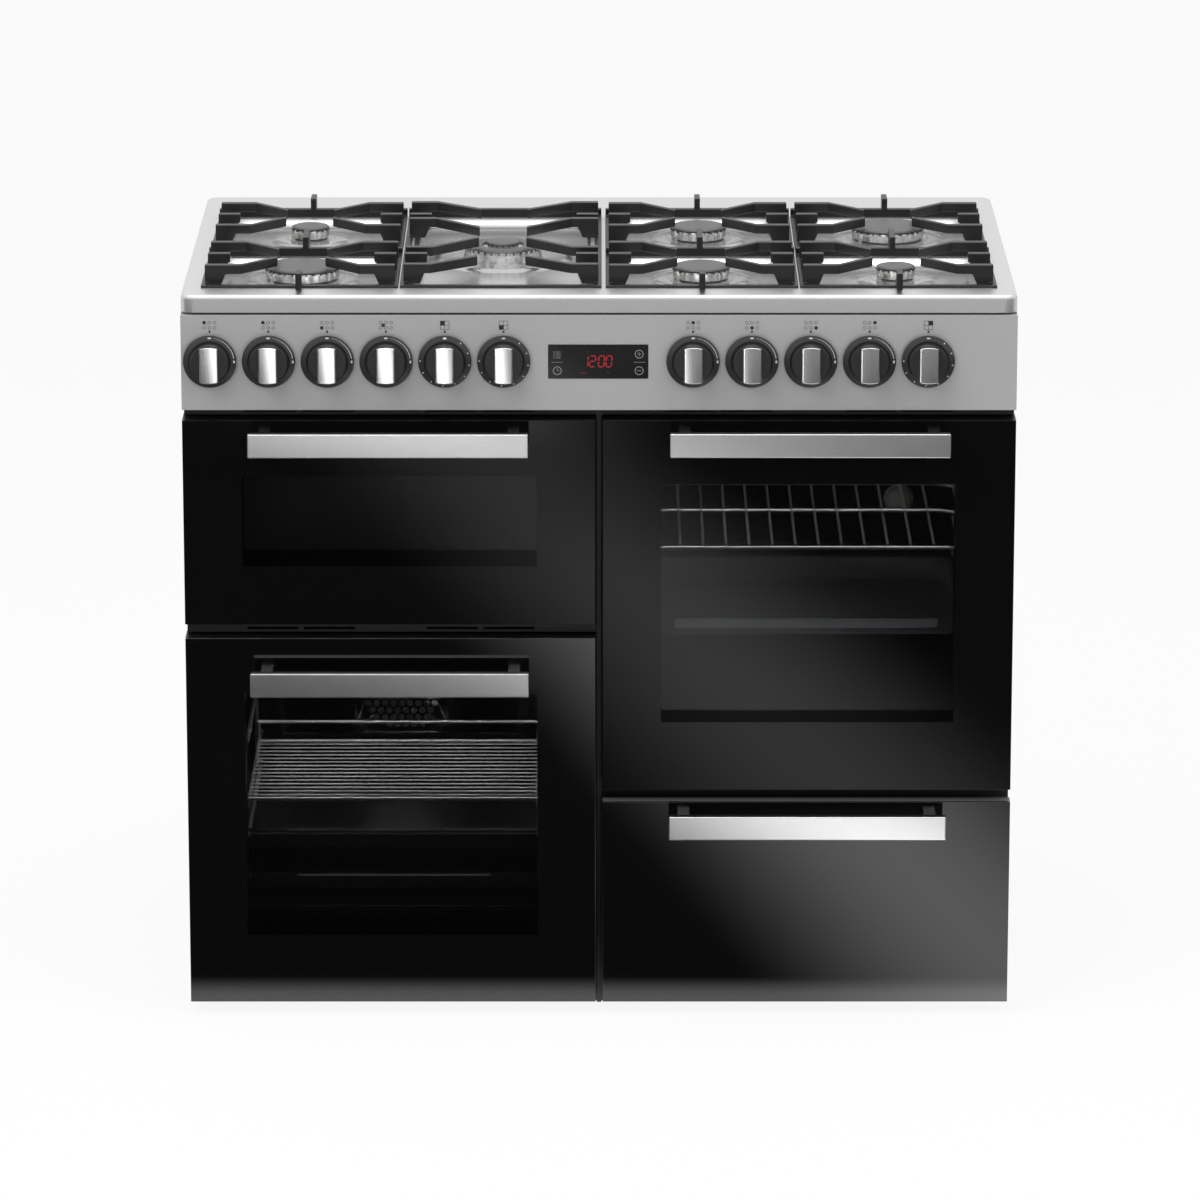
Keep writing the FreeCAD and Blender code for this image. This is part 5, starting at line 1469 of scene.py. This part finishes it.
CAMERA_PLACE, LOOK_DOWN = (0.0, -8.2061, 2.6038), 14.695
CAMERA_LENS, CAMERA_SHIFT = 203.8, 0.0008
AIM = (0, 0, 0.5)
# Name, place, width, depth and watts of each lamp, and whether glossy faces show it
LAMPS = (("key_light", (-2.2, -3.0, 3.6), 2.6, 2.6, 80, False),
         ("fill_light", (2.8, -2.4, 2.2), 2.4, 2.4, 40, False),
         ("top_light", (0.0, -0.5, 3.4), 2.2, 1.4, 45, True))
# Watts of the lamps at each oven's ceiling and floor
OVEN_LIGHT = {"grill_cavity": (0.5, 0.1), "fan_oven_cavity": (1.8, 0.1),
              "main_oven_cavity": (1.6, 1.2)}
PLAIN_LIGHT, REFLECTED_LIGHT = 0.45, 0.88
FLOOR_HALF = 20.0
# What the glass fronts see of the floor: a strip of light about a line that runs at a slant
STRIP_SLANT, STRIP_OFFSET = -0.2468, -0.6348
STRIP_HALF, STRIP_PEAK, STRIP_GAIN, MAT_GLOW = 0.36, 1.54, 0.74, 0.03
# Soft steps: what is measured, where it starts, where it is full, and its height
FLOOR_STEPS = {"middle": ("away", STRIP_HALF, 0.0, STRIP_PEAK),
               "nearer": ("y", -3.0, -2.3, 0.36), "further": ("y", -3.2, -3.9, 1.7),
               "end": ("y", -7.5, -6.5, 1.0), "far": ("y", -3.4, -4.1, 0.3),
               "at_doors": ("y", -0.43, -0.34, 1.5), "before": ("y", -0.2, -0.26, 1.0),
               "behind": ("y", -0.26, -0.2, 0.7)}
# How the steps make the brightness: the strip, fading along its length, on a dark mat; the
# floor past the mat; then the bright edge before the doors and the floor under the cooker
FLOOR_SUMS = (("gain", "ADD", "nearer", "further"), ("gain", "ADD", "gain", STRIP_GAIN),
              ("strip", "MULTIPLY", "middle", "gain"), ("strip", "MULTIPLY", "strip", "end"),
              ("strip", "ADD", "strip", MAT_GLOW), ("lit", "MAXIMUM", "strip", "far"),
              ("band", "MULTIPLY", "at_doors", "before"), ("lip", "ADD", "behind", "band"),
              ("seen", "ADD", "lit", "lip"))


class COOKER_OT_stage(bpy.types.Operator):
    """Lays the white floor and sets the lamps and the camera"""
    bl_idname = "cooker.stage"
    bl_label = "Stage"

    def execute(self, context):
        self.world()
        self.floor()
        for name, place, width, depth, power, glossy in LAMPS:
            self.lamp(name, place, AIM, width, depth, power, glossy)
        for node, (power, lower) in OVEN_LIGHT.items():
            low, high = (corner * MM for corner in box_mm(node))
            x = (low.x + high.x) / 2
            self.lamp("light_in_" + node, (x, low.y + 0.03, high.z - 0.012),
                      (x, high.y, low.z), 0.39, 0.05, power, True)
            self.lamp("low_light_in_" + node, (x, low.y - 0.003, low.z + 0.03),
                      (x, high.y, (low.z + high.z) / 2), 0.36, 0.03, lower)
        data = bpy.data.cameras.new("photo_camera")
        data.sensor_width = 36.0
        data.lens = CAMERA_LENS
        data.shift_x = CAMERA_SHIFT
        data.clip_end = 60.0
        camera = bpy.data.objects.new("photo_camera", data)
        camera.location = CAMERA_PLACE
        camera.rotation_euler = (math.radians(90 - LOOK_DOWN), 0.0, 0.0)
        bpy.context.scene.collection.objects.link(camera)
        bpy.context.scene.camera = camera
        bpy.context.scene.view_settings.view_transform = "Standard"
        return {"FINISHED"}

    def world(self):
        """Even studio light, with a white background to the eye."""
        world = bpy.data.worlds.new("studio")
        world.use_nodes = True
        tree = world.node_tree
        tree.nodes.clear()
        path = add(tree, "ShaderNodeLightPath")
        seen = add(tree, "ShaderNodeMath", {"operation": "MAXIMUM"},
                   {0: path.outputs["Is Camera Ray"], 1: path.outputs["Is Transmission Ray"]})
        shine = add(tree, "ShaderNodeMath",
                    {"operation": "MULTIPLY_ADD", 1: REFLECTED_LIGHT - PLAIN_LIGHT,
                     2: PLAIN_LIGHT}, {0: path.outputs["Is Glossy Ray"]})
        whole = add(tree, "ShaderNodeMath", {"operation": "MAXIMUM"},
                    {0: seen.outputs[0], 1: shine.outputs[0]})
        plain = add(tree, "ShaderNodeBackground", {"Color": (1, 1, 1, 1)},
                    {"Strength": whole.outputs[0]})
        add(tree, "ShaderNodeOutputWorld", {}, {"Surface": plain.outputs[0]})
        bpy.context.scene.world = world

    def floor(self):
        """White floor that keeps a soft shadow; glossy faces see a studio floor in it."""
        bm = bmesh.new()
        bmesh.ops.create_grid(bm, x_segments=1, y_segments=1, size=FLOOR_HALF)
        mesh = bpy.data.meshes.new("floor")
        bm.to_mesh(mesh)
        bm.free()
        floor = bpy.data.objects.new("floor", mesh)
        bpy.context.scene.collection.objects.link(floor)
        material, tree, shader = start_material("Matt white floor", "#F4F4F4", 0.9)
        path = add(tree, "ShaderNodeLightPath")
        shine = add(tree, "ShaderNodeEmission", {"Color": (1, 1, 1, 1)},
                    {"Strength": self.studio_floor(tree, path)})
        views = add(tree, "ShaderNodeMath", {"operation": "MAXIMUM"},
                    {0: path.outputs["Is Camera Ray"], 1: path.outputs["Is Glossy Ray"]})
        through = add(tree, "ShaderNodeMath", {"operation": "MAXIMUM"},
                      {0: views.outputs[0], 1: path.outputs["Is Transmission Ray"]})
        # The eye sees nine tenths of the plain white and a tenth of the lit floor with its
        # shadow; glossy faces see the studio floor alone
        part = add(tree, "ShaderNodeMath", {"operation": "MULTIPLY", 1: 0.1},
                   {0: path.outputs["Is Glossy Ray"]})
        share = add(tree, "ShaderNodeMath", {"operation": "MULTIPLY_ADD", 1: 0.9},
                    {0: through.outputs[0], 2: part.outputs[0]})
        mix = add(tree, "ShaderNodeMixShader", {}, {0: share.outputs[0], 1: shader.outputs[0],
                                                    2: shine.outputs[0]})
        tree.links.new(mix.outputs[0], tree.nodes["Material Output"].inputs["Surface"])
        material.cycles.emission_sampling = "NONE"
        mesh.materials.append(material)

    def studio_floor(self, tree, path):
        """Floor brightness: white to the eye; in reflections a dark mat with one soft strip."""
        coords = add(tree, "ShaderNodeTexCoord")
        split = add(tree, "ShaderNodeSeparateXYZ", {}, {0: coords.outputs["Object"]})
        x, y = split.outputs["X"], split.outputs["Y"]
        slant = add(tree, "ShaderNodeMath",
                    {"operation": "MULTIPLY_ADD", 1: STRIP_SLANT, 2: STRIP_OFFSET}, {0: y})
        off = add(tree, "ShaderNodeMath", {"operation": "ADD"}, {0: x, 1: slant.outputs[0]})
        away = add(tree, "ShaderNodeMath", {"operation": "ABSOLUTE"}, {0: off.outputs[0]})
        values = {"y": y, "away": away.outputs[0]}
        for name, (measure, start, end, height) in FLOOR_STEPS.items():
            ramp = add(tree, "ShaderNodeMapRange",
                       {"interpolation_type": "SMOOTHSTEP", "From Min": start, "From Max": end,
                        "To Min": 0.0, "To Max": height}, {"Value": values[measure]})
            values[name] = ramp.outputs["Result"]
        for name, operation, first, second in FLOOR_SUMS:
            fixed, links = {"operation": operation}, {0: values[first]}
            if isinstance(second, str):
                links[1] = values[second]
            else:
                fixed[1] = second
            values[name] = add(tree, "ShaderNodeMath", fixed, links).outputs[0]
        pick = add(tree, "ShaderNodeMix", {2: 1.0},
                   {0: path.outputs["Is Glossy Ray"], 3: values["seen"]})
        return pick.outputs[0]

    def lamp(self, name, spot, target, width, depth, power, glossy=False):
        """Softbox that looks at a target."""
        data = bpy.data.lights.new(name, "AREA")
        data.shape = "RECTANGLE"
        data.size = width
        data.size_y = depth
        data.energy = power
        lamp = bpy.data.objects.new(name, data)
        lamp.location = spot
        lamp.visible_camera = False
        lamp.visible_glossy = glossy
        aim = Vector(target) - Vector(spot)
        lamp.rotation_euler = aim.to_track_quat("-Z", "Y").to_euler()
        bpy.context.scene.collection.objects.link(lamp)


class COOKER_PT_pieces(bpy.types.Panel):
    """Sidebar list of the cooker's pieces"""
    bl_idname = "COOKER_PT_pieces"
    bl_label = "Range cooker"
    bl_space_type = "VIEW_3D"
    bl_region_type = "UI"
    bl_category = "Cooker"

    def draw(self, context):
        layout = self.layout
        for group in (context.scene.cooker_sizes, context.scene.cooker_colours):
            for name in group.__annotations__:
                layout.prop(group, name)
        for operator in OPERATORS:
            layout.operator(operator.bl_idname)


OPERATORS = (COOKER_OT_hob, COOKER_OT_pan_supports, COOKER_OT_burners, COOKER_OT_panel,
             COOKER_OT_knobs, COOKER_OT_clock, COOKER_OT_doors, COOKER_OT_shelves,
             COOKER_OT_fan_cover, COOKER_OT_heating, COOKER_OT_case, COOKER_OT_stage)
GROUPS = (CookerSizes, CookerColours)


def register():
    """Registers the settings, the operators and the panel."""
    for cls in GROUPS + OPERATORS + (COOKER_PT_pieces,):
        bpy.utils.register_class(cls)
    bpy.types.Scene.cooker_sizes = bpy.props.PointerProperty(type=CookerSizes)
    bpy.types.Scene.cooker_colours = bpy.props.PointerProperty(type=CookerColours)


def unregister():
    """Removes what register added."""
    del bpy.types.Scene.cooker_colours
    del bpy.types.Scene.cooker_sizes
    for cls in reversed(GROUPS + OPERATORS + (COOKER_PT_pieces,)):
        bpy.utils.unregister_class(cls)


def main():
    """Builds every piece."""
    register()
    for operator in OPERATORS:
        group, name = operator.bl_idname.split(".")
        getattr(getattr(bpy.ops, group), name)()


if __name__ == "__main__":
    main()
